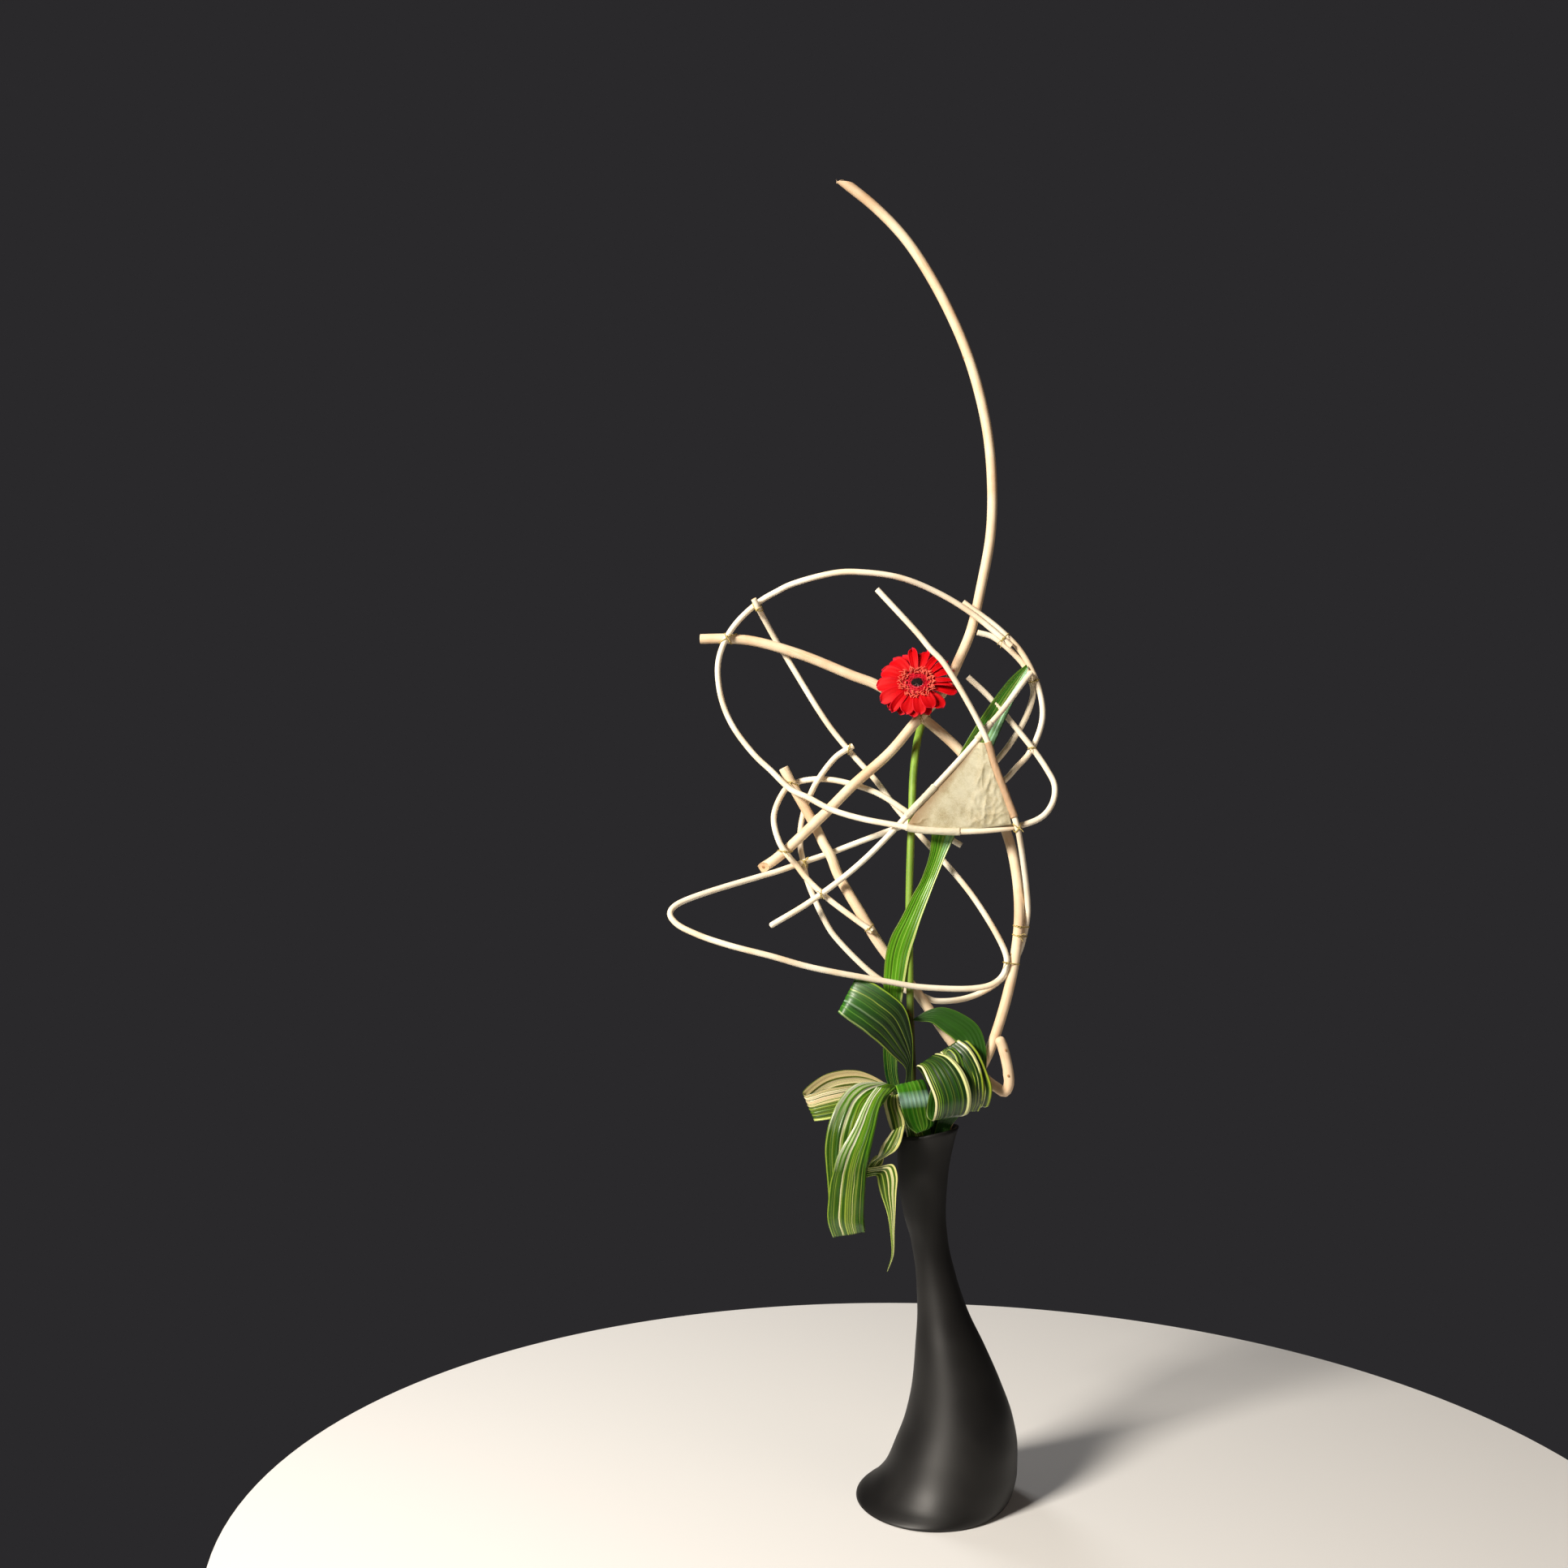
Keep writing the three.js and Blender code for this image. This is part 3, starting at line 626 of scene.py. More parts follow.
@dataclass(frozen=True)
class StripedBlade(Finish):
    """A striped dracaena leaf: waxy, with parallel veins and lengthwise bands of green, lime and cream.

    low and high are the bands towards the foot and towards the tip, and change is where, along the leaf, the
    ones turn into the others. A root is one colour over the foot, up to root_and_gloss_end; where high covers
    the foot, what shows of the root is a painted highlight band across the leaf. lines is how strongly the pale
    and the dark hair lines show.
    """

    low: Stops
    high: Stops = ()
    change: tuple[float, float] = (0.5, 0.6)
    root: str = ""
    root_and_gloss_end: tuple[float, float] = (0.16, 0.24)
    veins: int = 24
    pale_line: str = "#C3D65C"
    lines: tuple[float, float] = (0.75, 0.7)
    roughness: float = 0.34
    coat: float = 0.35

    DARK_LINE = "#0F2E08"
    WAVER = 0.03  # how far the bands sway to either side, as a share of the width

    def shader(self, tree: bpy.types.NodeTree) -> Inputs:
        """Bands by the share across the leaf, which waver a little along it.

        Args:
            tree: the material's node tree.

        Returns:
            The inputs of the shader.
        """
        spot = put(tree, "TexCoord").outputs["UV"]
        across, along, _ = put(tree, "SeparateXYZ", {"Vector": spot}).outputs
        sway = put(tree, "Mapping", {"Vector": spot, "Scale": (1.5, 9.0, 1.0)})
        waver = put(tree, "TexNoise", {"Vector": sway, "Scale": 1.0, "Detail": 2.0})
        shift = put(tree, "MapRange", {"Value": waver, "To Min": -self.WAVER, "To Max": self.WAVER})
        place = put(tree, "Math", {0: across, 1: shift}, operation="ADD")
        layers: list[tuple[bpy.types.Node, object]] = []
        # The root colour over the foot; on the rim curl's back, where the high bands cover the foot, it is left as
        # a painted highlight band.
        if self.root:
            foot = {"From Min": self.root_and_gloss_end[0], "From Max": self.root_and_gloss_end[1], "To Min": 1.0, "To Max": 0.0}
            layers.append((put(tree, "MapRange", {"Value": along, **foot}), srgb(self.root)))
        if self.high:
            share = put(tree, "MapRange", {"Value": along, "From Min": self.change[0], "From Max": self.change[1]})
            layers.append((share, put(tree, "ValToRGB", {"Fac": place}, self.high)))
        pale, dark = self.lines
        for draw, strength, code in ((3.7, pale, self.pale_line), (11.3, dark, self.DARK_LINE)):
            drawn_out = {"Scale": (self.veins * 0.9, 0.9, 1.0), "Location": (draw, draw, 0.0)}
            hairs = put(tree, "Mapping", {"Vector": spot, **drawn_out})
            thread = put(tree, "TexNoise", {"Vector": hairs, "Scale": 1.0, "Detail": 1.0})
            line = put(tree, "MapRange", {"Value": thread, "From Min": 0.56, "From Max": 0.61, "To Max": strength})
            layers.append((line, srgb(code)))
        colour = put(tree, "ValToRGB", {"Fac": place}, self.low)
        for share, over in layers:
            layer = {"Factor": share, MIX_UNDER: colour, MIX_OVER: over}
            colour = put(tree, "Mix", layer, data_type="RGBA").outputs[MIXED]
        fine = put(tree, "Mapping", {"Vector": spot, "Scale": (self.veins * 1.1, 1.6, 1.0)})
        streak = put(tree, "TexNoise", {"Vector": fine, "Scale": 1.0, "Detail": 3.0})
        soft = {"From Min": 0.3, "From Max": 0.7, "To Min": 0.78, "To Max": 1.12}
        shade = put(tree, "MapRange", {"Value": streak, **soft})
        toned = put(tree, "HueSaturation", {"Color": colour, "Value": shade})
        wave = put(tree, "Math", {0: across, 1: self.veins * 2 * math.pi}, operation="MULTIPLY")
        vein = put(tree, "Math", {0: wave}, operation="SINE")
        bump = put(tree, "Bump", {"Height": vein, "Strength": 0.2, "Distance": 0.1 * MM})
        return {
            "Base Color": toned, "Roughness": self.roughness, "IOR": 1.45, "Coat Weight": self.coat,
            "Coat Roughness": 0.3, "Subsurface Weight": 0.06, "Subsurface Radius": (0.0008, 0.002, 0.0004),
            "Subsurface Scale": 1.0, "Normal": bump,
        }


@dataclass(frozen=True)
class PetalSkin(Finish):
    """Velvety petal: matte, soft sheen, ribbed lengthwise; painted shade at the root, painted highlight at the rim.
    """

    # deep is painted shade at the root, and rim a painted highlight along the edges and at the tip.
    deep: str
    full: str
    rim: str
    ribs: float = 9.0

    def shader(self, tree: bpy.types.NodeTree) -> Inputs:
        """Painted shade deep at the root, full in the blade, and a thin paler rim of painted highlight.

        Args:
            tree: the material's node tree.

        Returns:
            The inputs of the shader.
        """
        spot = put(tree, "TexCoord").outputs["UV"]
        across, along, _ = put(tree, "SeparateXYZ", {"Vector": spot}).outputs
        # Painted shade: the root darkens to deep; painted highlight: the tip pales to rim.
        stops = ((0.0, self.deep), (0.4, self.full), (0.93, self.full), (1.0, self.rim))
        blade = put(tree, "ValToRGB", {"Fac": along}, stops)
        # Painted highlight: a pale rim along both edges.
        edge = put(tree, "Math", {0: across, 1: 0.5}, operation="SUBTRACT")
        far = put(tree, "Math", {0: edge}, operation="ABSOLUTE")
        margin = put(tree, "MapRange", {"Value": far, "From Min": 0.45, "From Max": 0.5, "To Max": 0.55})
        painted_rim_highlight = {"Factor": margin, MIX_UNDER: blade, MIX_OVER: srgb(self.rim)}
        mixed = put(tree, "Mix", painted_rim_highlight, data_type="RGBA").outputs[MIXED]
        stretched = put(tree, "Mapping", {"Vector": spot, "Scale": (self.ribs * 2, 1.2, 1.0)})
        ribs = put(tree, "TexNoise", {"Vector": stretched, "Scale": 1.0, "Detail": 2.0})
        soft = {"From Min": 0.3, "From Max": 0.7, "To Min": 0.9, "To Max": 1.04}
        shade = put(tree, "MapRange", {"Value": ribs, **soft})
        toned = put(tree, "HueSaturation", {"Color": mixed, "Value": shade})
        bump = put(tree, "Bump", {"Height": ribs, "Strength": 0.25, "Distance": 0.2 * MM})
        return {
            "Base Color": toned, "Roughness": 0.6, "Specular IOR Level": 0.15, "Sheen Weight": 0.04,
            "Sheen Roughness": 0.4, "Sheen Tint": srgb("#FF5A70"), "Subsurface Weight": 0.12,
            "Subsurface Radius": (0.003, 0.0006, 0.0006), "Subsurface Scale": 1.0, "Normal": bump,
        }


@dataclass(frozen=True)
class SoftSkin(Finish):
    """Fresh plant tissue in one mottled tone: a stem, a bract or the bristles of the eye."""

    dark: str
    light: str
    grain: tuple[float, float, float] = (900.0, 900.0, 60.0)
    roughness: float = 0.5
    shaded: str = ""

    SHADED_BELOW_MM = (455, 500)  # the heights between which the shaded colour gives way

    def shader(self, tree: bpy.types.NodeTree) -> Inputs:
        """Mottling that is stretched along the stem, and a darker lower stretch.

        Args:
            tree: the material's node tree.

        Returns:
            The inputs of the shader.
        """
        spot = put(tree, "TexCoord").outputs["Object"]
        stretched = put(tree, "Mapping", {"Vector": spot, "Scale": self.grain})
        mottle = put(tree, "TexNoise", {"Vector": stretched, "Scale": 1.0, "Detail": 4.0})
        tone = put(tree, "ValToRGB", {"Fac": mottle}, ((0.3, self.dark), (0.6, self.light), (1.0, self.light)))
        if self.shaded:
            height = put(tree, "SeparateXYZ", {"Vector": spot}).outputs[2]
            low, high = (edge * MM for edge in self.SHADED_BELOW_MM)
            fade = {"From Min": low, "From Max": high, "To Min": 1.0, "To Max": 0.0}
            depth = put(tree, "MapRange", {"Value": height, **fade})
            layer = {"Factor": depth, MIX_UNDER: tone, MIX_OVER: srgb(self.shaded)}
            tone = put(tree, "Mix", layer, data_type="RGBA").outputs[MIXED]
        bump = put(tree, "Bump", {"Height": mottle, "Strength": 0.3, "Distance": 0.15 * MM})
        return {"Base Color": tone, "Roughness": self.roughness, "Subsurface Weight": 0.08, "Normal": bump}


@dataclass(frozen=True)
class MatteCeramic(Finish):
    """Black stoneware with a matte engobe: no mirror, only a broad soft gleam and fine pinpricks."""

    name: str = "matte_black_ceramic"
    deep: str = "#0E0D0D"
    worn: str = "#171615"

    def shader(self, tree: bpy.types.NodeTree) -> Inputs:
        """Grit about 0.8 mm apart, drawn as coarse as it needs to show.

        Args:
            tree: the material's node tree.

        Returns:
            The inputs of the shader.
        """
        spot = put(tree, "TexCoord").outputs["Object"]
        cloud = put(tree, "TexNoise", {"Vector": spot, "Scale": per(55), "Detail": 4.0})
        tone = put(tree, "ValToRGB", {"Fac": cloud}, ((0.3, self.deep), (0.7, self.worn), (1.0, self.worn)))
        soft = {"From Min": 0.3, "From Max": 0.7, "To Min": 0.46, "To Max": 0.54}
        gleam = put(tree, "MapRange", {"Value": cloud, **soft})
        grit = put(tree, "TexNoise", {"Vector": spot, "Scale": per(0.8), "Detail": 3.0})
        bump = put(tree, "Bump", {"Height": grit, "Strength": 0.22, "Distance": 0.15 * MM})
        return {"Base Color": tone, "Roughness": gleam, "IOR": 1.45, "Normal": bump}


@dataclass(frozen=True)
class StillWater(Finish):
    """Clear water that stands in the vase."""

    name: str = "still_water"

    def shader(self, tree: bpy.types.NodeTree) -> Inputs:
        """Clear, with the faintest ripple.

        Args:
            tree: the material's node tree.

        Returns:
            The inputs of the shader.
        """
        ripple = put(tree, "TexNoise", {"Vector": put(tree, "TexCoord").outputs["Object"], "Scale": per(18)})
        bump = put(tree, "Bump", {"Height": ripple, "Strength": 0.05, "Distance": 1.0 * MM})
        clear = {"Base Color": srgb("#DCE8E6"), "Roughness": 0.03, "IOR": 1.333, "Transmission Weight": 0.9}
        return {**clear, "Normal": bump}


@dataclass(frozen=True)
class PaintedBoard(Finish):
    """The pale painted surface under the vase."""

    name: str = "painted_board"

    def shader(self, tree: bpy.types.NodeTree) -> Inputs:
        """Flat off-white paint with a trace of roller stipple.

        Args:
            tree: the material's node tree.

        Returns:
            The inputs of the shader.
        """
        stipple = put(tree, "TexNoise", {"Vector": put(tree, "TexCoord").outputs["Object"], "Scale": per(2.5)})
        bump = put(tree, "Bump", {"Height": stipple, "Strength": 0.05, "Distance": 0.2 * MM})
        return {"Base Color": srgb("#F1F0EE"), "Roughness": 0.6, "Normal": bump}


BRANCH_TONE = PeeledCane("peeled_branch", "#F1DCBC", "#DDB98C", "#D9AA7E", streak_mm=1.4)
WITHY_TONE = PeeledCane("peeled_withy", "#FFF6E2", "#F0DDB8", "#E9CBA2", streak_mm=0.9)
SAWN_END = EndGrain("sawn_end", "#E4C39A", "#A77E55")
TWIG_SCAR = EndGrain("twig_scar", "#B98A5E", "#6E4628")

# ---------------------------------------------------------------- sticks


@dataclass
class Stick:
    """One bent branch or withy, peeled and dried."""

    node: str
    points: tuple[Point, ...]
    radius_mm: float
    tone: PeeledCane
    start: EndCut = EndCut.SAWN
    end: EndCut = EndCut.SAWN
    knots_mm: tuple[tuple[float, float, float], ...] = ()
    route: Route = field(init=False)

    INSIDE = 0.975  # of the node's radius, so that a round section stays inside its many-sided one
    STEP = 2.4 * MM  # from ring to ring
    UNEVEN, LUMPY = 0.022, 0.018  # how far the radius wanders along and round the stick
    KNOT_REACH, KNOT_SPREAD = 3.4 * MM, 1.6
    RIM_SOFTNESS = {EndCut.SAWN: 0.12, EndCut.ROUNDED: 0.8}  # as a share of the radius
    FIBRE = 0.32 * MM

    def __post_init__(self) -> None:
        """Lays the route."""
        self.route = Route(self.points)

    @property
    def radius(self) -> float:
        """The radius in metres."""
        return self.radius_mm * MM * self.INSIDE

    def _swell(self, distance: float, angle: float) -> float:
        """The radius at a place: a stick is never quite even or quite round.

        Args:
            distance: along the stick.
            angle: round it.

        Returns:
            The radius, in metres.
        """
        seed = self.points[0][0]
        round_it = Vector((math.cos(angle) * 0.5, math.sin(angle) * 0.5, distance * 22 + seed))
        slow = noise.noise(Vector((seed, 3.1, distance * 9)))
        size = self.radius * (1 - self.UNEVEN + self.UNEVEN * slow + self.LUMPY * noise.noise(round_it))
        for near, where, height in self.knots_mm:
            gap = (distance - near * MM) / self.KNOT_REACH
            turn = (angle - where + math.pi) % TURN - math.pi
            size += height * MM * math.exp(-gap * gap - turn * turn * self.KNOT_SPREAD)
        for cut, gap in ((self.start, distance), (self.end, self.route.length - distance)):
            soft = self.radius * self.RIM_SOFTNESS.get(cut, 0.0)
            if soft and gap < soft:
                size -= soft * (1 - math.sqrt(max(0.0, 1 - (1 - max(0.0, gap) / soft) ** 2)))
        return size

    def _stations(self) -> list[float]:
        """The distances of the rings, close together at both ends.

        Returns:
            The distances, rising.
        """
        length = self.route.length
        rim = [share * self.radius for share in (0.0, 0.04, 0.12, 0.3, 0.55, 0.8, 1.2)]
        count = max(2, round((length - 2 * rim[-1]) / self.STEP))
        middle = [rim[-1] + (length - 2 * rim[-1]) * i / count for i in range(1, count)]
        stations = [*rim, *middle, *(length - gap for gap in reversed(rim))]
        if self.start is EndCut.SLANTED:
            stations = [-14 * MM, -8 * MM, -3 * MM, *stations[3:]]
        return stations

    def build(self) -> None:
        """Builds the stick, its cut ends and the scars where twigs were cut off."""
        draft = Draft(self.node.replace("branch", "cane").replace("withy", "cane"))
        draft.tube(self.route, self._swell, 28 if self.radius_mm > 4 else 20, self._stations())
        if self.start is EndCut.SLANTED:
            self._cut_level(draft)
        if self.end is EndCut.OBLIQUE:
            self._cut_oblique(draft)
        caps = draft.close(draft.bm.verts, finish=1)
        bmesh.ops.inset_individual(draft.bm, faces=caps, thickness=0.18 * self.radius, depth=-0.06 * self.radius)
        for near, where, height in self.knots_mm:
            self._scar(draft, near * MM, where, height * MM)
        draft.piece([self.tone, SAWN_END, TWIG_SCAR], Slot.WOOD, self.node, sharp_deg=50)

    @staticmethod
    def _cut(draft: Draft, at: Vector, facing: Vector) -> None:
        """Cuts away what lies in front of a plane."""
        geometry = [*draft.bm.verts, *draft.bm.edges, *draft.bm.faces]
        bmesh.ops.bisect_plane(draft.bm, geom=geometry, plane_co=at, plane_no=facing, clear_outer=True)

    def _cut_level(self, draft: Draft) -> None:
        """Cuts the leaning top off level, and leaves three torn fibres on its high side.

        Args:
            draft: the stick's mesh.
        """
        middle = self.route.along(0)
        level = middle.z + 0.4 * MM
        self._cut(draft, Vector((middle.x, middle.y, level)), Vector((0.05, 0, 1)))
        rim = (vert.co for vert in draft.bm.verts if vert.co.z > level - 0.6 * MM)
        tip = min(rim, key=lambda co: co.x).copy()
        for shape in (
            ((0.6, 0, -1.2), (0.3, 0, 1.0), (-0.1, 0, 2.6)),
            ((1.6, 0.3, -0.8), (2.4, 0.3, 1.0), (4.6, 0.4, 2.1), (7.4, 0.6, 2.5)),
            ((4.0, -0.6, -0.6), (3.6, -0.6, 0.6), (3.9, -0.6, 1.3)),
        ):
            route = Route([tip / MM + Vector(p) for p in shape])
            length = route.length
            stations = [length * i / 7 for i in range(8)]
            draft.close(draft.tube(route, lambda d, _a: self.FIBRE * (1.08 - d / length), 6, stations))

    def _cut_oblique(self, draft: Draft) -> None:
        """Cuts the end at a slant that faces forwards, and adds the dark pith in the middle of the cut.

        Args:
            draft: the stick's mesh.
        """
        heading = self.route.heading(self.route.length)
        facing = (heading + Vector((0.25, -0.95, 0))).normalized()
        middle = self.route.along(self.route.length - 0.95 * self.radius)
        self._cut(draft, middle, facing)
        up = (UP - facing * facing.z).normalized()
        draft.ball(middle, (up * 1.5 * MM, facing.cross(up) * 1.9 * MM, facing * 0.25 * MM), finish=2)

    def _scar(self, draft: Draft, distance: float, where: float, height: float) -> None:
        """Adds the darker scar of a twig on a swelling.

        Args:
            draft: the mesh that it joins.
            distance: how far along the stick.
            where: the angle round it.
            height: of the swelling.
        """
        point, first, second = self.route.frames([distance], BACKWARD)[0]
        outward = first * math.cos(where) + second * math.sin(where)
        heading = self.route.heading(distance)
        sideways = heading.cross(outward)
        centre = point + outward * (self.radius + height * 0.72)
        draft.ball(centre, (heading * 1.5 * MM, sideways * 1.1 * MM, outward * 0.45 * MM), finish=2)


CANES = (
    Stick(
        "branch_tall_arc",
        (
            (-81, -14, 1283), (-51, -4, 1261), (-21, 3, 1230), (8, 9, 1185), (34, 13, 1130), (49, 15, 1084),
            (59, 16, 1035), (63, 16, 982), (61, 16, 933), (52, 14, 884), (41, 12, 837), (29, 8, 808),
            (12, 4, 774), (-12, 1, 748), (-40, -2, 715), (-76, -3, 683), (-102, -3, 657), (-152, 0, 611),
            (-169, 1, 600),
        ),
        5.2, BRANCH_TONE, start=EndCut.SLANTED, end=EndCut.OBLIQUE,
        knots_mm=((214, 4.4, 0.35), (560, 3.6, 0.3), (742, 4.9, 0.5)),
    ),
    Stick(
        "branch_main_upright",
        (
            (-229, 6, 831), (-200, 6, 831), (-174, 7, 828), (-127, 8, 814), (-76, 11, 793), (-53, 12, 784),
            (-28, 13, 767), (29, 12, 718), (54, 11, 681), (74, 10, 638), (83, 8, 601), (86, 6, 560),
            (83, 5, 524), (75, 3, 483), (63, 1, 443), (52, 0, 416), (23, 2, 369), (12, 3, 345), (4, 2, 318),
            (-1, -1, 270), (2, -3, 242), (6, -4, 207), (12, -3, 120), (14, 0, 13.2),
        ),
        5.2, BRANCH_TONE, knots_mm=((96, 4.6, 0.3), (505, 4.2, 0.35)),
    ),
    Stick(
        "branch_hooked_brace",
        (
            (-145, 3, 701), (-137, 4, 685), (-115, 9, 645), (-105, 6, 625), (-98, 3, 613), (-91, 2, 595),
            (-66, -1, 553), (-51, 0, 528), (-12, 7, 477), (21, 12, 430), (45, 13, 403), (55, 8, 394),
            (63, 1, 389), (70, -5, 386), (74, -9, 395), (68, -11, 430), (64, -11, 439),
        ),
        5.2, BRANCH_TONE, end=EndCut.ROUNDED, knots_mm=((412, 3.0, 0.55), (436, 3.5, 0.5)),
    ),
    Stick(
        "withy_great_loop",
        (
            (37, -4, 789), (56, -3, 771), (97, -1, 722), (113, -4, 698), (120, -8, 682), (118, -12, 666),
            (108, -16, 652), (87, -20, 643), (34, -22, 637), (-12, -22, 639), (-32, -21, 643), (-68, -16, 650),
            (-97, -13, 659), (-120, -8, 671), (-137, -6, 679), (-157, -3, 698), (-173, 0, 713), (-194, 3, 740),
            (-205, 4, 763), (-210, 2, 786), (-210, 0, 807), (-203, -2, 828), (-190, -3, 847), (-168, -6, 866),
            (-150, -12, 875), (-135, -17, 881), (-91, -26, 890), (-67, -27, 890), (-29, -22, 885),
            (7, -11, 872), (41, -4, 852), (80, -3, 819),
        ),
        3.0, WITHY_TONE,
    ),
    Stick(
        "withy_teardrop",
        (
            (33, 2, 864), (69, 2, 836), (91, 3, 812), (107, 6, 777), (110, 7, 748), (98, 8, 716), (84, 11, 700),
            (73, 15, 688), (54, 20, 673), (26, 20, 661), (-20, 12, 646), (-53, 13, 634), (-77, 13, 625),
            (-98, 14, 617), (-121, 6, 609), (-152, -3, 598), (-166, -6, 594), (-246, -38, 566),
            (-251, -43, 558), (-245, -46, 549), (-223, -50, 538), (-192, -52, 528), (-153, -49, 518),
            (-115, -41, 507), (-40, -23, 492), (-12, -15, 487), (40, -4, 485), (59, -2, 489), (69, 0, 497),
            (73, -1, 508), (72, 0, 519), (41, 7, 574), (-19, 19, 644), (-35, 18, 663), (-55, 16, 690),
            (-79, 16, 717), (-102, 17, 746), (-145, 18, 816), (-153, 14, 829), (-165, 0, 851), (-169, -12, 859),
            (-173, -16, 867),
        ),
        3.0, WITHY_TONE,
    ),
    Stick(
        "withy_long_bow",
        (
            (-51, -38, 871), (-12, -36, 828), (0, -36, 813), (13, -35, 799), (52, -28, 730), (62, -28, 699),
            (76, -28, 661), (82, -28, 643), (87, -17, 620), (94, 4, 570), (94, 9, 554), (86, 14, 519),
            (70, 14, 494), (38, 15, 475), (4, 16, 471), (-7, 17, 475), (-28, 16, 482), (-52, 13, 493),
            (-92, 10, 531), (-103, 8, 547), (-122, 8, 590), (-126, 12, 608), (-129, 16, 621), (-129, 17, 642),
            (-124, 18, 664), (-119, 11, 674), (-112, 4, 687), (-93, 8, 712), (-76, 9, 723),
        ),
        3.0, WITHY_TONE,
    ),
    Stick(
        "withy_diagonal",
        (
            (99, -3, 793), (93, -5, 786), (69, -13, 754), (55, -20, 738), (40, -20, 720), (-12, -15, 664),
            (-69, -14, 606), (-116, -11, 570), (-157, -14, 545),
        ),
        3.0, WITHY_TONE, end=EndCut.ROUNDED,
    ),
    Stick(
        "withy_small_loop",
        (
            (30, 10, 624), (3, 6, 640), (-23, 6, 657), (-53, 7, 676), (-91, 8, 688), (-116, 12, 690),
            (-138, 14, 685), (-146, 6, 676), (-154, -5, 652), (-148, -10, 627), (-138, -9, 612),
            (-132, -5, 605), (-122, -4, 592), (-102, -5, 573), (-74, -9, 552), (-57, -10, 540),
        ),
        3.0, WITHY_TONE,
    ),
    Stick(
        "withy_inner_arc",
        (
            (47, 4, 834), (63, 6, 829), (93, 9, 801), (101, 9, 780), (101, 9, 771), (93, 6, 748), (77, 7, 722),
            (65, 11, 707),
        ),
        3.0, WITHY_TONE,
    ),
)
STICKS = {cane.node: cane for cane in CANES}

# ---------------------------------------------------------------- twine


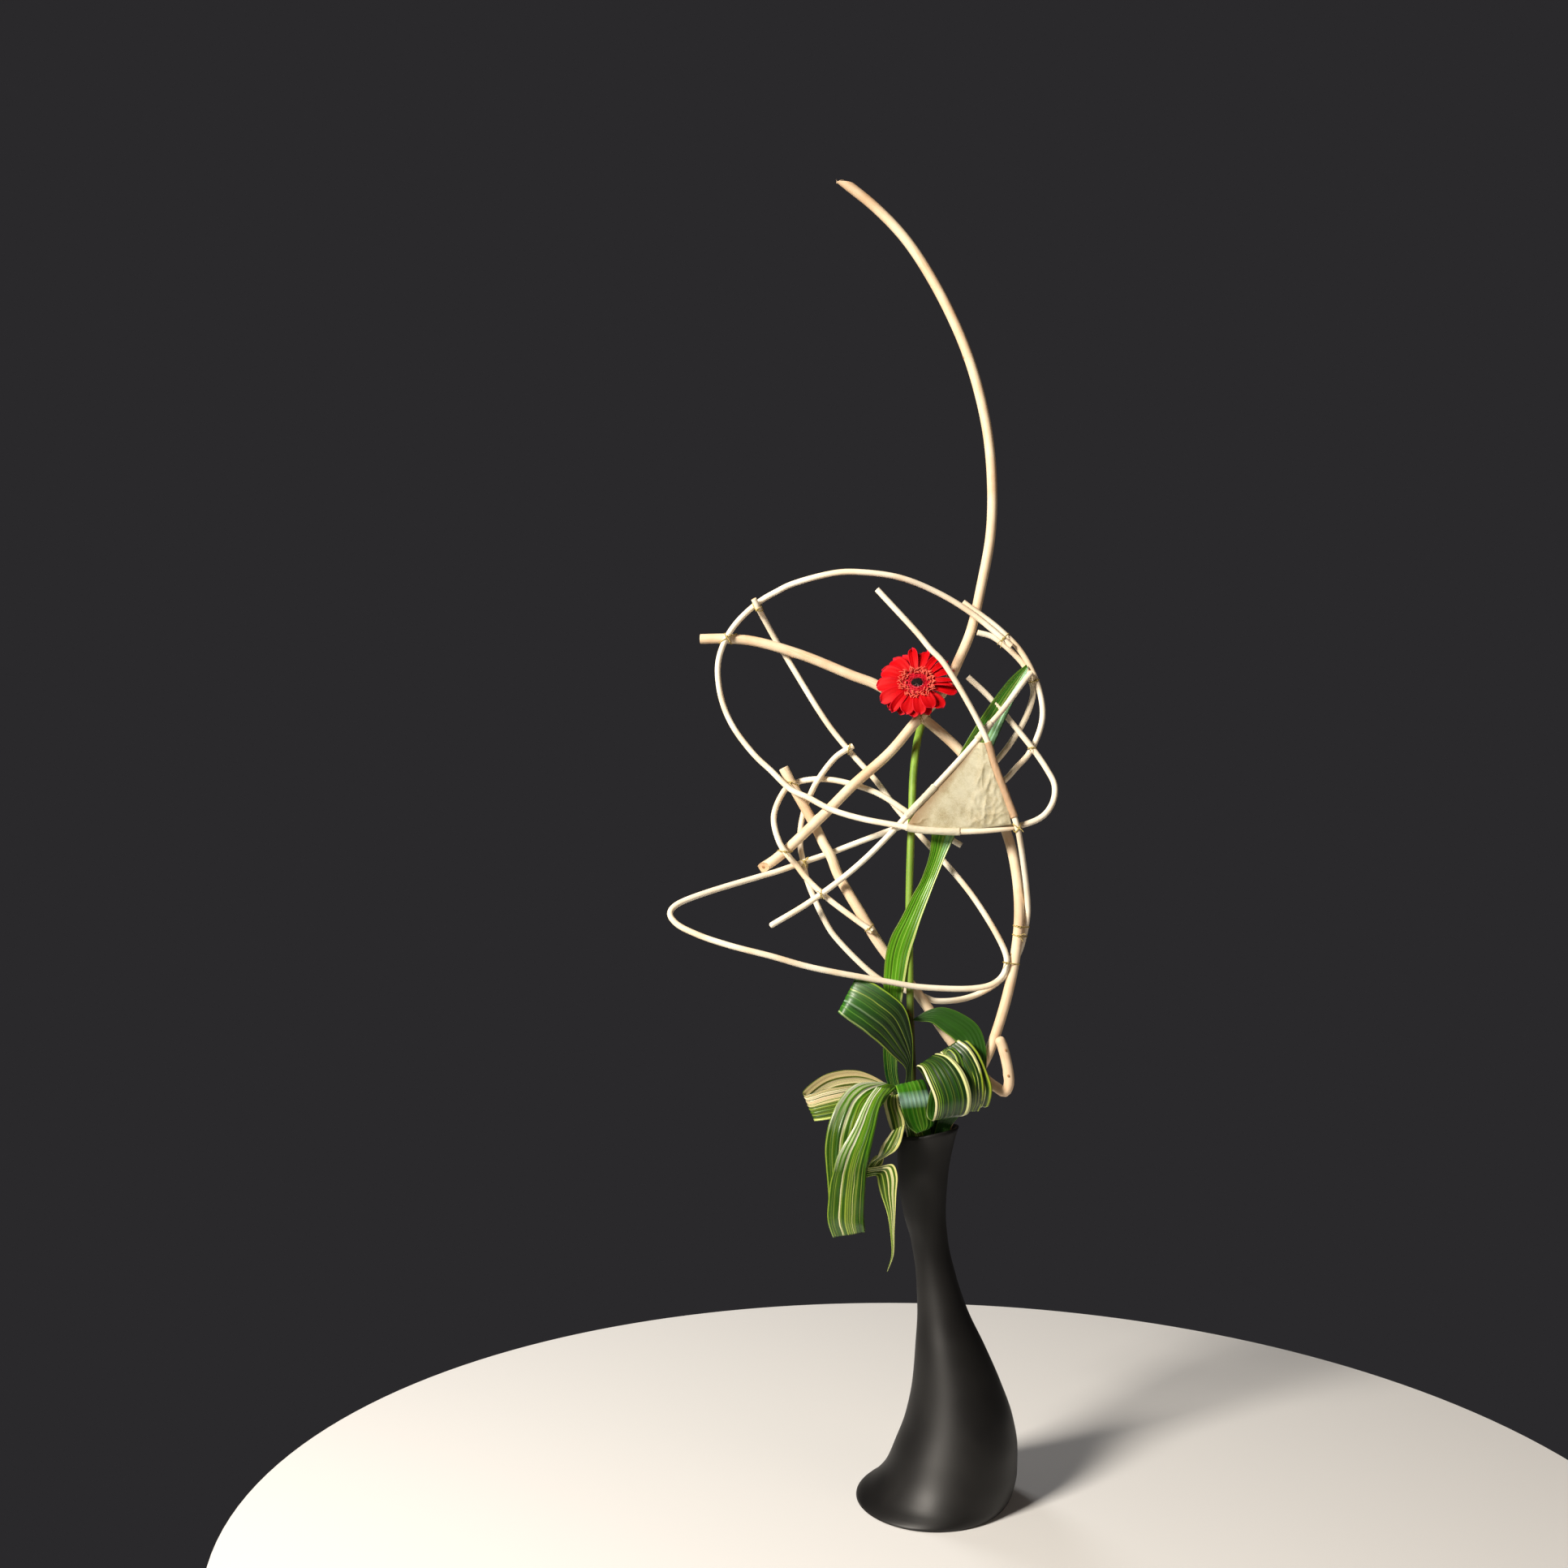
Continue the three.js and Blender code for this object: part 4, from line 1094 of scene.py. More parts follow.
@dataclass
class Lashing:
    """Twine wound tight round the sticks that cross at a place, with a knot and one to three loose ends."""

    node: str
    sticks: tuple[str, str]
    near: Point
    tails_mm: tuple[Point, ...]
    crossed: bool = False

    TWINE = 0.36 * MM  # its radius
    TURNS, PITCH = 2, 0.85 * MM
    STEPS, EVERY = 40, 4  # the steps of a turn, and how many lie between two waypoints
    KNOT = 0.42 * MM

    def _ring(self, shift: float, other: bool) -> Callable[[float], Vector]:
        """The tight line round all the sticks, in the plane across them.

        Args:
            shift: how far along the sticks the plane lies, in metres.
            other: whether to take the second diagonal of a crossing.

        Returns:
            A function from the angle to the point.
        """
        here = metres(self.near)
        passes = []
        for name in self.sticks:
            stick = STICKS[name]
            distance = stick.route.nearest(here)
            reach = stick.radius + self.TWINE * 0.9
            passes.append((stick.route.along(distance), stick.route.heading(distance), reach))
        lead = passes[0][1]
        axis = Vector()
        for index, (_, heading, _) in enumerate(passes):
            sign = 1 if heading.dot(lead) >= 0 else -1
            axis += heading * (sign if not (other and index) else -sign)
        axis.normalize()
        middle = sum((point for point, _, _ in passes), Vector()) / len(passes)
        across = passes[0][0] - passes[-1][0]
        across = (across - axis * across.dot(axis)).normalized()
        side = axis.cross(across)
        cuts = []
        for point, heading, reach in passes:
            slope = heading.dot(axis)
            centre = point + heading * (((middle - point).dot(axis) + shift) / slope)
            long = heading - axis * slope
            long = long.normalized() if long.length > 1e-3 else across
            cuts.append((centre, long * (reach / abs(slope)), axis.cross(long) * reach))

        def line(angle: float) -> Vector:
            """The furthest point of all the sticks in a direction."""
            outward = across * math.cos(angle) + side * math.sin(angle)
            best, seat = -math.inf, middle
            for centre, long, short in cuts:
                a, b = outward.dot(long), outward.dot(short)
                spread = math.hypot(a, b)
                reached = (centre - middle).dot(outward) + spread
                if reached > best:
                    best, seat = reached, centre + long * (a / spread) + short * (b / spread)
            return seat

        return line

    def _wind(self, draft: Draft, other: bool) -> None:
        """Winds the turns side by side.

        Args:
            draft: the mesh that it joins.
            other: whether to take the second diagonal of a crossing.
        """
        count = self.TURNS * self.STEPS
        width = self.PITCH * (self.TURNS - 1)
        points = []
        for i in range(0, count + 1, self.EVERY):
            ring = self._ring(width * (i / count - 0.5), other)
            points.append(ring(TURN * i / self.STEPS))
        self._thread(draft, points, self.TWINE)

    def _thread(self, draft: Draft, points: Sequence[Vector], radius: float) -> None:
        """Adds one thread through points.

        Args:
            draft: the mesh that it joins.
            points: the waypoints, in metres.
            radius: the thread's.
        """
        route = Route(points, scale=1.0)
        count = max(4, round(route.length / (0.9 * MM)))
        stations = [route.length * i / count for i in range(count + 1)]
        start = Vector((0.3, 1, 0.2)).normalized()
        draft.close(draft.tube(route, lambda _d, _a: radius, 7, stations, start=start))

    def build(self) -> None:
        """Builds the windings, the knot at their front and the tails."""
        draft = Draft(self.node.replace("tie", "twine"))
        for other in (False, True) if self.crossed else (False,):
            self._wind(draft, other)
        ring = self._ring(0.0, False)
        knot = min((ring(TURN * i / 24) for i in range(24)), key=lambda spot: spot.y)
        self._knot(draft, knot)
        for tail in self.tails_mm:
            way = Vector(tail) * MM
            sag = Vector((0, 0, -0.18 * way.length))
            bend = knot + way * 0.3 + Vector((0, -0.6 * MM, 0))
            self._thread(draft, [knot, bend, knot + way * 0.7, knot + way + sag], self.TWINE * 0.85)
        draft.piece([WaxedTwine()], Slot.TWINE, self.node, sharp_deg=80)

    def _knot(self, draft: Draft, centre: Vector) -> None:
        """Ties a small overhand knot.

        Args:
            draft: the mesh that it joins.
            centre: its middle.
        """
        size = self.KNOT
        points = []
        for i in range(19):
            t = TURN * i / 18
            x = size * (math.sin(t) + 2 * math.sin(2 * t))
            z = size * (math.cos(t) - 2 * math.cos(2 * t))
            points.append(centre + Vector((x, size * (-math.sin(3 * t)) - 0.3 * MM, z)))
        self._thread(draft, points, self.TWINE * 0.9)


LASHINGS = (
    Lashing(
        "tie_top_splice", ("withy_great_loop", "withy_teardrop"), (72, 0, 827), ((-6, -3, -5), (-3, -3, -8)),
    ),
    Lashing("tie_diagonal_end", ("withy_teardrop", "withy_inner_arc"), (100, 6, 785), ((-5, -3, -4),)),
    Lashing("tie_right_cross", ("withy_great_loop", "withy_teardrop"), (98, 3, 719), ((-3, -3, -4),)),
    Lashing("tie_top_left", ("withy_teardrop", "withy_great_loop"), (-168, -8, 860), ((4, -2, 3),)),
    Lashing(
        "tie_left_end", ("branch_main_upright", "withy_great_loop"), (-200, 2, 830), ((4, -3, -5), (5, -2, 3)),
        crossed=True,
    ),
    Lashing(
        "tie_main_crossing", ("branch_tall_arc", "branch_main_upright"), (-10, 7, 750),
        ((-6, -4, -3), (3, -4, -6)), crossed=True,
    ),
    Lashing(
        "tie_brace_head", ("branch_hooked_brace", "withy_small_loop"), (-136, 8, 684),
        ((5, -3, 2), (2, -3, -6)),
    ),
    Lashing("tie_loop_on_arc", ("branch_tall_arc", "withy_small_loop"), (-146, -4, 619), ((4, -2, -4),)),
    Lashing(
        "tie_bow_on_teardrop", ("withy_teardrop", "withy_long_bow"), (-124, 8, 605),
        ((4, -3, 5), (6, -3, 2), (2, -3, -5)), crossed=True,
    ),
    Lashing(
        "tie_loop_on_diagonal", ("withy_small_loop", "withy_diagonal"), (-107, -7, 576),
        ((-4, -2, 4), (3, -2, -4)),
    ),
    Lashing("tie_loop_on_brace", ("withy_small_loop", "branch_hooked_brace"), (-60, -6, 543), ((4, -3, -3),)),
    Lashing("tie_bow_upper", ("branch_main_upright", "withy_long_bow"), (89, 7, 545), ((-4, -3, 2),)),
    Lashing(
        "tie_bow_lower", ("branch_main_upright", "withy_long_bow"), (88, 8, 536), ((7, -3, 3), (4, -3, -4)),
    ),
    Lashing(
        "tie_teardrop_heel", ("branch_main_upright", "withy_teardrop"), (77, 2, 509),
        ((-5, -3, 2), (-4, -3, -4)),
    ),
    Lashing(
        "tie_triangle_corner", ("withy_long_bow", "withy_great_loop"), (83, -24, 642), ((4, -2, -3),),
        crossed=True,
    ),
    Lashing("tie_bow_end", ("withy_long_bow", "withy_teardrop"), (-80, 12, 721), ((4, -3, 3),)),
)

# ---------------------------------------------------------------- paper


@dataclass
class PaperTriangle:
    """One sheet of washi glued across three crossing withies, wrapped right round the bow on its right."""

    left: tuple[Point, ...] = ((48, -23, 723), (33.5, -20, 707), (-9, -16, 661), (-21, -18, 646))
    right: tuple[Point, ...] = ((51, -27.5, 722), (58.4, -28, 697.7), (72.4, -28, 659.7), (76, -27, 646))
    foot: tuple[Point, ...] = ((-21, -18, 646), (30, -21.5, 641.5), (76, -27, 646))
    laps_mm: Point = (1.8, 1.2, 2.5)
    seed: int = 5
    wraps: tuple[tuple[str, Point, Point, int], ...] = (
        ("withy_long_bow", (54, -28, 722), (80, -28, 650), 1),
        ("withy_great_loop", (28, -22, 637), (-24, -22, 641), 2),
        ("withy_diagonal", (4, -17, 681), (-24, -15, 651), 2),
        ("withy_diagonal", (58, -19, 742), (45, -20, 726), 2),
    )
    finishes: tuple[WashiPaper, ...] = (
        # On the sheet the third colour is painted shadow along the diagonal withy; on the wraps it is their own
        # glued tone.
        WashiPaper("washi_paper", "#BDB598", "#9F9270", "#8C6C46", "#D5CEB4"),
        WashiPaper("glued_paper", "#CFAE8C", "#B48E6A", "#C79F7C", "#DCC3A2"),
        WashiPaper("hem_paper", "#EFE4C8", "#D8C8A2", "#E9DCBC", "#F6EFDC"),
    )

    THICKNESS = 0.35 * MM
    FOLDS = ((19, 1.25), (11, 0.7))  # the right half's folds: millimetres apart, and how high

    def _creases(self, u: float, v: float, at: Vector) -> float:
        """How far the paper stands proud of flat, in millimetres: glue shrank it into sharp creases.

        Args:
            u: the share across the sheet, from the diagonal withy to the bow.
            v: the share down it.
            at: the place on the flat sheet, in metres.

        Returns:
            The height of the creases there.
        """
        spot = Vector((at.x, at.z, 0.004)) / MM
        drift = noise.noise_vector(spot / 30) * 8
        right_half, apex = smooth(0.4, 0.7, u), smooth(0.35, 0, v)
        left_corner = smooth(0.72, 1, v) * smooth(0.34, 0, u)
        upright = Vector((spot.x / 11, spot.y / 30, 1.7)) + drift / 20
        height = 0.9 * right_half * self._crest(upright, 3.4)
        folds = [(size, right_half, weight) for size, weight in self.FOLDS]
        for size, share, weight in (*folds, (8, left_corner, 1.3), (7, apex, 0.9), (26, 1.0, 0.35)):
            height += weight * share * self._crest((spot + drift) / size, 2.8)
        hem = smooth(0.0, 0.05, u) * smooth(1.0, 0.94, u) * smooth(1.0, 0.95, v)
        return hem * height

    @staticmethod
    def _crest(spot: Vector, steepness: float) -> float:
        """The height of a sharp-ridged fold, from 0 to 1."""
        return max(0.0, 1 - abs(noise.noise(spot)) * steepness) ** 1.4

    def build(self) -> None:
        """Builds the sheet and its wraps: glued and soaked round the bow, pale at the other edges."""
        noise.seed_set(self.seed)  # unseeded, noise_vector differs from run to run
        draft = Draft("paper_sheet")
        left, right, foot = Route(self.left), Route(self.right), Route(self.foot)

        def place(u: float, v: float) -> Vector:
            """The point at a share across and a share down."""
            at = left.at(v).lerp(right.at(v), u)
            at += (foot.at(u) - left.at(1).lerp(right.at(1), u)) * v**6
            lap_left, lap_right, lap_foot = self.laps_mm
            across = (right.at(v) - left.at(v)).normalized()
            at += across * ((lap_right * u - lap_left * (1 - u)) * MM) - Vector((0, 0, lap_foot * MM * v**4))
            hollow = 16 * u * (1 - u) * v * (1 - v) * 0.9
            return at + Vector((0, (hollow - self._creases(u, v, at)) * MM, 0))

        draft.sheet(84, 72, lambda u, v: place(u, 1 - v))
        for name, start, stop, finish in self.wraps:
            self._wrap(draft, STICKS[name].route, (start, stop), finish)
        thicken(draft.piece(self.finishes, Slot.PAPER, "paper_triangle", 26, outward=False), self.THICKNESS)

    @staticmethod
    def _wrap(draft: Draft, route: Route, ends: tuple[Point, Point], finish: int) -> None:
        """Wraps a stretch of a withy in crumpled paper.

        Args:
            draft: the mesh that it joins.
            route: the withy's.
            ends: places near the two ends of the stretch.
            finish: the index of the finish.
        """
        low, high = sorted(route.nearest(metres(end)) for end in ends)
        count = round((high - low) / (1.1 * MM))
        stations = [low + (high - low) * i / count for i in range(count + 1)]

        def radius(distance: float, angle: float) -> float:
            """The wrap's radius, creased along and across."""
            spot = Vector((math.cos(angle), math.sin(angle), distance / (4.5 * MM)))
            fold = 1 - abs(noise.noise(spot * 1.3)) * 2.2
            return (3.28 + 0.28 * max(0.0, fold) ** 2 + 0.1 * math.sin(3 * angle + distance * 180)) * MM

        draft.tube(route, radius, 26, stations, finish=finish)


# ---------------------------------------------------------------- leaves

DEEP, DARK, MID, FRESH = "#0E2206", "#17380A", "#2A5E0C", "#4C8C10"
# The third colour is a painted gloss highlight, not a stripe of the leaf.
LIME, CREAM, PAINTED_GLOSS_MINT = "#9DBE30", "#E9E6AE", "#8CC79A"


def bands(base: str, *stripes: tuple[float, float, str]) -> tuple[tuple[float, str], ...]:
    """Stops for lengthwise bands on a base colour.

    Args:
        base: the colour between the stripes.
        stripes: (centre, width, colour) of each, in shares of the leaf's width, from left to right.

    Returns:
        The stops of a colour ramp.
    """
    soft = 0.006
    stops: list[tuple[float, str]] = [(0.0, base)]
    for centre, width, code in stripes:
        low, high = max(0.001, centre - width / 2 - soft), min(0.999, centre + width / 2 + soft)
        flat = [centre] if width <= 0.05 else [low + 2 * soft, high - 2 * soft]
        stops += [(low, base), *((place, code) for place in flat), (high, base)]
    return tuple(sorted(stops, key=lambda stop: stop[0]))


@dataclass
class Leaf:
    """A striped leaf that runs between two margins, from its foot in the water to its tip."""

    node: str
    rows: tuple[Row, ...]
    top: StripedBlade
    under: StripedBlade
    ruffle_mm: float = 0.22
    pleats: int = 7
    dish_mm: float = 0.0
    strips: tuple[tuple[Row, ...], ...] = ()

    THICKNESS = 0.55 * MM
    PER_ROW = 9  # faces along the blade from one row to the next
    NARROW, BROAD = 3 * MM, 16 * MM  # the widths between which the pleats fade in

    def _strip(self, draft: Draft, rows: Sequence[Row], across: int) -> None:
        """Adds one stretch of blade between two margins, pleated along its veins.

        Args:
            draft: the mesh that it joins.
            rows: its left and right margin, from the foot on.
            across: faces across it.
        """
        left, right = (Route([row[side] for row in rows]) for side in (0, 1))
        along = self.PER_ROW * (len(rows) - 1)
        step = 0.4 / along

        def flat(u: float, v: float) -> Vector:
            """The point on the plain blade."""
            return left.at(v).lerp(right.at(v), u)

        def place(u: float, v: float) -> Vector:
            """The point on the pleated blade."""
            at = flat(u, v)
            width = right.at(v) - left.at(v)
            way = flat(u, min(1, v + step)) - flat(u, max(0, v - step))
            face = width.cross(way).normalized()
            broad = smooth(self.NARROW, self.BROAD, width.length)
            pleat = math.cos(2 * math.pi * self.pleats * u)
            waver = noise.noise(Vector((u * 3, v * along * 0.12, rows[0][0][0])))
            rise = self.ruffle_mm * (pleat + 1.4 * waver) - self.dish_mm * (1 - (2 * u - 1) ** 2)
            return at + face * (rise * broad * MM)

        draft.sheet(across, along, place)

    def build(self) -> None:
        """Builds the leaf, and the split strips that lie over it where it has them."""
        draft = Draft(self.node.replace("leaf_", "blade_"))
        self._strip(draft, self.rows, 28)
        for rows in self.strips:
            self._strip(draft, rows, 20)
        thicken(draft.piece([self.top, self.under], Slot.LEAF, self.node, 180, outward=False), self.THICKNESS, 1)


PLAIN_UNDER = StripedBlade(
    "leaf_underside", bands(MID, (0.2, 0.03, FRESH), (0.5, 0.03, LIME), (0.78, 0.03, FRESH)), lines=(0.3, 0.4),
    roughness=0.5, coat=0.1,
)

TWIST_WRAP: tuple[Row, ...] = (
    ((-38, -54, 355), (-26, -51, 361)), ((-43, -58, 349), (-28, -56, 351)),
    ((-47.5, -60, 343), (-30, -59, 344.5)), ((-50, -60, 337), (-34.5, -60, 338)),
    ((-52, -58, 331.5), (-42, -59, 333)), ((-58, -55, 326), (-51, -57, 327)),
    ((-62.5, -54, 319), (-60, -55, 312)),
)
COIL_BRIDGE: tuple[Row, ...] = (
    ((8, -17, 424.5), (26, -18, 437)), ((14, -25, 418.5), (36.5, -24.5, 429.5)),
    ((22.5, -32, 408), (45, -28, 415)), ((28, -35, 394), (49, -30, 396)), ((30, -33, 380), (48, -24.5, 379)),
    ((28, -24, 369.5), (44.5, -17.5, 369)),
)
# A strip of leaf low in the vase's mouth, put there as a dark sheet that hides the stick behind it, where there is
# only shade.
MOUTH_SHADE_SCREEN: tuple[Row, ...] = (
    ((1, -13, 332), (12, -13, 332)), ((2, -13.5, 346), (15, -12.5, 345)), ((4, -14, 354), (18, -12, 353)),
    ((7, -15, 366), (26, -12, 364)), ((10, -16, 378), (30, -13, 377)),
)

LEAVES = (
    Leaf(
        "leaf_upright",
        (
            ((-22, -2, 322), (-14, -2, 322)), ((-25, -2, 345), (-17, -2, 346)),
            ((-36, -5, 376), (-27, -5, 379)), ((-45, -8, 402), (-33, -7, 403)),
            ((-47, -11, 464), (-29, -9, 468)), ((-46, -12, 497), (-25, -10, 496)),
            ((-44, -13, 518), (-21, -10, 517)), ((-39, -14, 535), (-16, -11, 533)),
            ((-29, -13, 553), (-10, -11, 552)), ((-18, -12, 575), (-2, -10, 573)),
            ((-11, -10, 587), (3, -8, 586)), ((-6, -10, 599), (8, -7, 598)), ((-1, -9, 616), (15, -6, 615)),
            ((2, -8, 641), (25, -6, 636)), ((20, -8, 692), (47, -5, 685)), ((30, -8, 716), (59, -6, 715)),
            ((46, -8, 743), (71, -7, 742)), ((63, -6, 768), (81, -4, 764)), ((80, -3, 789), (90, -2, 781)),
            ((94, -1, 801), (96, -1, 798)),
        ),
        StripedBlade(
            "leaf_upright_face",
            bands(
                "#5FA41A", (0.04, 0.05, "#B4CC4E"), (0.42, 0.05, "#4A8E12"), (0.7, 0.03, "#8CC03A"),
                (0.86, 0.04, "#2A5E0C"), (0.95, 0.09, "#D3DE86"),
            ),
            # The mint band on the right of the upper blade is a painted gloss highlight.
            bands(MID, (0.03, 0.04, LIME), (0.3, 0.3, "#2F6A10"), (0.6, 0.04, DARK), (0.8, 0.34, PAINTED_GLOSS_MINT)),
            change=(0.6, 0.72), root="#0D4312", lines=(0.3, 0.5),
        ),
        PLAIN_UNDER, dish_mm=1.6,
    ),
    Leaf(
        "leaf_left_loop",
        (
            ((-13, -6, 322), (-5, -6, 322)), ((-15, -7, 346), (-7, -7, 346)),
            ((-27, -12, 382), (-19, -11, 383)), ((-25, -15, 407), (-18, -15, 421)),
            ((-38, -22, 421), (-19, -21, 445)), ((-56, -27, 438), (-26, -27, 469)),
            ((-76, -30, 453), (-43, -28, 484)), ((-87, -30, 461), (-64, -24, 495)),
            ((-90, -24, 463), (-72, -21, 497)), ((-87, -18, 461), (-70, -18, 496)),
            ((-74, -16, 454), (-53, -16, 488)), ((-53, -16, 442), (-34, -16, 470)),
            ((-36, -16, 429), (-27, -16, 446)),
        ),
        StripedBlade(
            "leaf_left_loop_face",
            bands(
                DEEP, (0.025, 0.03, "#93A63C"), (0.19, 0.014, "#4E7018"), (0.34, 0.018, "#7C9430"),
                (0.5, 0.012, "#48661A"), (0.66, 0.02, "#8A9E38"), (0.82, 0.012, "#4E7018"), (0.975, 0.03, LIME),
            ),
            # Towards and past the fold the bands turn brighter and bluish: painted highlight over the leaf's
            # stripes where it turns over.
            bands(
                "#2C6A12", (0.03, 0.04, "#C9DDA0"), (0.19, 0.03, "#5E9A3A"), (0.34, 0.05, "#A9D0B0"),
                (0.5, 0.03, "#4E9030"), (0.66, 0.04, "#A4BE50"), (0.82, 0.02, "#5E9020"), (0.97, 0.04, LIME),
            ),
            change=(0.42, 0.62), pale_line="#4F6A1C", lines=(0.3, 0.5), roughness=0.45, coat=0.2,
        ),
        StripedBlade(
            "leaf_left_loop_back", bands(DARK, (0.25, 0.05, CREAM), (0.5, 0.03, LIME), (0.75, 0.05, CREAM)),
            lines=(0.3, 0.5),
        ),
    ),
    Leaf(
        "leaf_right_ring",
        (
            ((-1, -9, 322), (7, -9, 322)), ((0, -10, 347), (9, -10, 347)), ((3, -14, 366), (11, -12, 370)),
            ((-2, -14, 387), (15, -9, 398)), ((-10, -20, 405), (9, -10, 418)), ((-15, -27, 412), (5, -19, 424)),
            ((-11, -34, 412), (17, -29, 422)), ((-4, -44, 399), (30, -39, 409)),
            ((2, -47, 383), (37, -42, 387)), ((2, -44, 371), (35, -36, 371)), ((-1, -35, 362), (29, -27, 366)),
            ((-5, -29, 365), (21, -19, 367)), ((-3, -27, 385), (23, -18, 394)), ((7, -22, 409), (29, -15, 424)),
            ((15, -21, 427), (33, -16, 436)), ((21, -27, 423), (43, -21, 427)),
            ((25, -32, 410), (51, -24, 411)), ((29, -34, 392), (57, -26, 391)),
            ((29, -28, 377), (53, -20, 374)), ((28, -19, 371), (49, -12, 375)), ((31, -12, 391), (52, -8, 401)),
            ((31, -10, 417), (52, -8, 429)), ((23, -8, 434), (45, -8, 449)), ((9, -8, 445), (29, -8, 461)),
            ((-1, -8, 452), (10, -8, 467)), ((-12, -8, 453), (-5, -8, 463)), ((-18, -8, 454), (-18, -8, 455)),
        ),
        StripedBlade(
            "leaf_right_ring_inside", bands("#24500A", (0.03, 0.03, "#86A83C"), (0.98, 0.03, "#4A7A16")),
            lines=(0.0, 0.25), roughness=0.45, coat=0.15,
        ),
        StripedBlade(
            "leaf_right_ring_outside",
            bands(
                DARK, (0.03, 0.07, CREAM), (0.115, 0.025, "#B7CC5A"), (0.175, 0.018, "#8DB030"),
                (0.24, 0.014, FRESH), (0.42, 0.16, "#1B430A"), (0.66, 0.014, "#3F7412"),
                (0.76, 0.02, "#8DB030"), (0.935, 0.11, "#E3E6A0"),
            ),
            bands(
                DARK, (0.03, 0.06, "#B7CC5A"), (0.2, 0.03, "#6E9A22"), (0.45, 0.16, "#1B430A"),
                (0.62, 0.03, "#9DBE30"), (0.76, 0.025, "#D8DE92"), (0.95, 0.09, "#A9C03A"),
            ),
            change=(0.44, 0.5), lines=(0.16, 0.6), roughness=0.38, coat=0.3,
        ),
        # The first strip is the dark sheet in the mouth that stands in for shade over the stick.
        strips=(MOUTH_SHADE_SCREEN, COIL_BRIDGE),
    ),
    Leaf(
        "leaf_rim_curl",
        (
            ((-8, -13, 322), (0, -13, 322)), ((-10, -14, 347), (-1, -14, 347)),
            ((-21, -15, 370), (-10, -15, 373)), ((-31, -17, 388), (-10, -16, 394)),
            ((-35, -22, 393), (-9, -18, 399)), ((-34, -30, 392), (-6, -22, 395)),
            ((-31, -37, 381), (-2, -22, 382)), ((-28, -40, 369), (0, -23, 368)),
            ((-23, -38, 357), (1, -25, 357)), ((-15, -35, 350), (-4, -29, 353)),
        ),
        StripedBlade(
            "leaf_rim_curl_face",
            bands("#37730E", (0.02, 0.03, "#8DB838"), (0.45, 0.03, "#2E6A0C"), (0.9, 0.2, "#24500A")),
            lines=(0.15, 0.3), roughness=0.26, coat=0.6,
        ),
        StripedBlade(
            "leaf_rim_curl_back",
            bands("#2C660C", (0.02, 0.03, "#8DB838"), (0.45, 0.03, "#245A0A"), (0.88, 0.22, "#1D4608")),
            bands("#3C7E14", (0.02, 0.03, "#8DB838"), (0.88, 0.22, "#24520A")), change=(0.66, 0.6),
            # The pale bluish root colour, from 0.6 to 0.74 along, is a painted highlight band where the curl turns
            # over.
            root="#9CC6B4", root_and_gloss_end=(0.68, 0.74), lines=(0.12, 0.3), roughness=0.28, coat=0.5,
        ),
    ),
    Leaf(
        "leaf_left_fold",
        (
            ((-22, -9, 322), (-15, -10, 322)), ((-25, -9, 346), (-18, -11, 346)),
            ((-32, -12, 377), (-30, -13, 368)), ((-44, -14, 393), (-39, -15, 382)),
            ((-66, -16, 405), (-60, -17, 382)), ((-81, -19, 407), (-74, -20, 381)),
            ((-100, -24, 404), (-94, -26, 376)), ((-116, -32, 395), (-108, -33, 366)),
            ((-123, -38, 388), (-112, -39, 362)), ((-120, -43, 386), (-110, -45, 362)),
            ((-105, -45, 391), (-98, -47, 364)), ((-87, -44, 395), (-83, -46, 368)),
            ((-73, -41, 396), (-70, -42, 375)),
        ),
        StripedBlade(
            "leaf_left_fold_face",
            bands(
                "#33500F", (0.05, 0.07, "#C6B886"), (0.16, 0.11, "#E8DDB6"), (0.31, 0.13, "#E2CFA4"),
                (0.43, 0.06, "#D2CA90"), (0.56, 0.03, "#93AC36"), (0.67, 0.05, "#6C8F20"),
                (0.79, 0.03, "#A4BA4C"), (0.95, 0.08, "#C3D072"),
            ),
            lines=(0.2, 0.45),
        ),
        StripedBlade(
            "leaf_left_fold_back",
            bands(
                "#525E20", (0.12, 0.2, "#C2B282"), (0.38, 0.2, "#D6CA9C"), (0.64, 0.18, "#B8AA74"),
                (0.89, 0.14, "#CFCB94"),
            ),
            lines=(0.2, 0.4),
        ),
    ),
    Leaf(
        "leaf_hanging",
        (
            ((-20, -13, 323), (-12, -13, 323)), ((-23, -14, 346), (-14, -15, 346)),
            ((-36, -19, 383), (-28, -19, 380)), ((-44, -25, 395), (-33, -24, 391)),
            ((-57, -36, 398), (-39, -34, 388)), ((-72, -49, 398), (-46, -47, 380)),
            ((-84, -59, 389), (-52, -58, 373)), ((-92, -66, 376), (-54, -66, 361)),
            ((-98, -70, 359), (-56, -70, 348)), ((-100, -72, 341), (-59, -72, 332)),
            ((-99, -73, 323), (-62, -73, 314)), ((-97, -73, 298), (-64, -73, 294)),
            ((-97, -72, 276), (-64, -72, 279)), ((-92, -70, 260), (-63, -71, 266)),
        ),
        StripedBlade(
            "leaf_hanging_face", bands("#5E8A14", (0.2, 0.05, CREAM), (0.5, 0.04, LIME), (0.8, 0.05, CREAM)),
            lines=(0.4, 0.5),
        ),
        StripedBlade(
            "leaf_hanging_shown",
            bands(
                "#2F5408", (0.02, 0.03, "#8DA23A"), (0.1, 0.02, "#1E3E06"), (0.19, 0.025, "#506E14"),
                (0.33, 0.05, CREAM), (0.5, 0.07, "#59700F"), (0.67, 0.02, "#C9CC7C"), (0.77, 0.025, "#1E3E06"),
                (0.88, 0.08, "#1B3806"), (0.97, 0.025, "#56761A"),
            ),
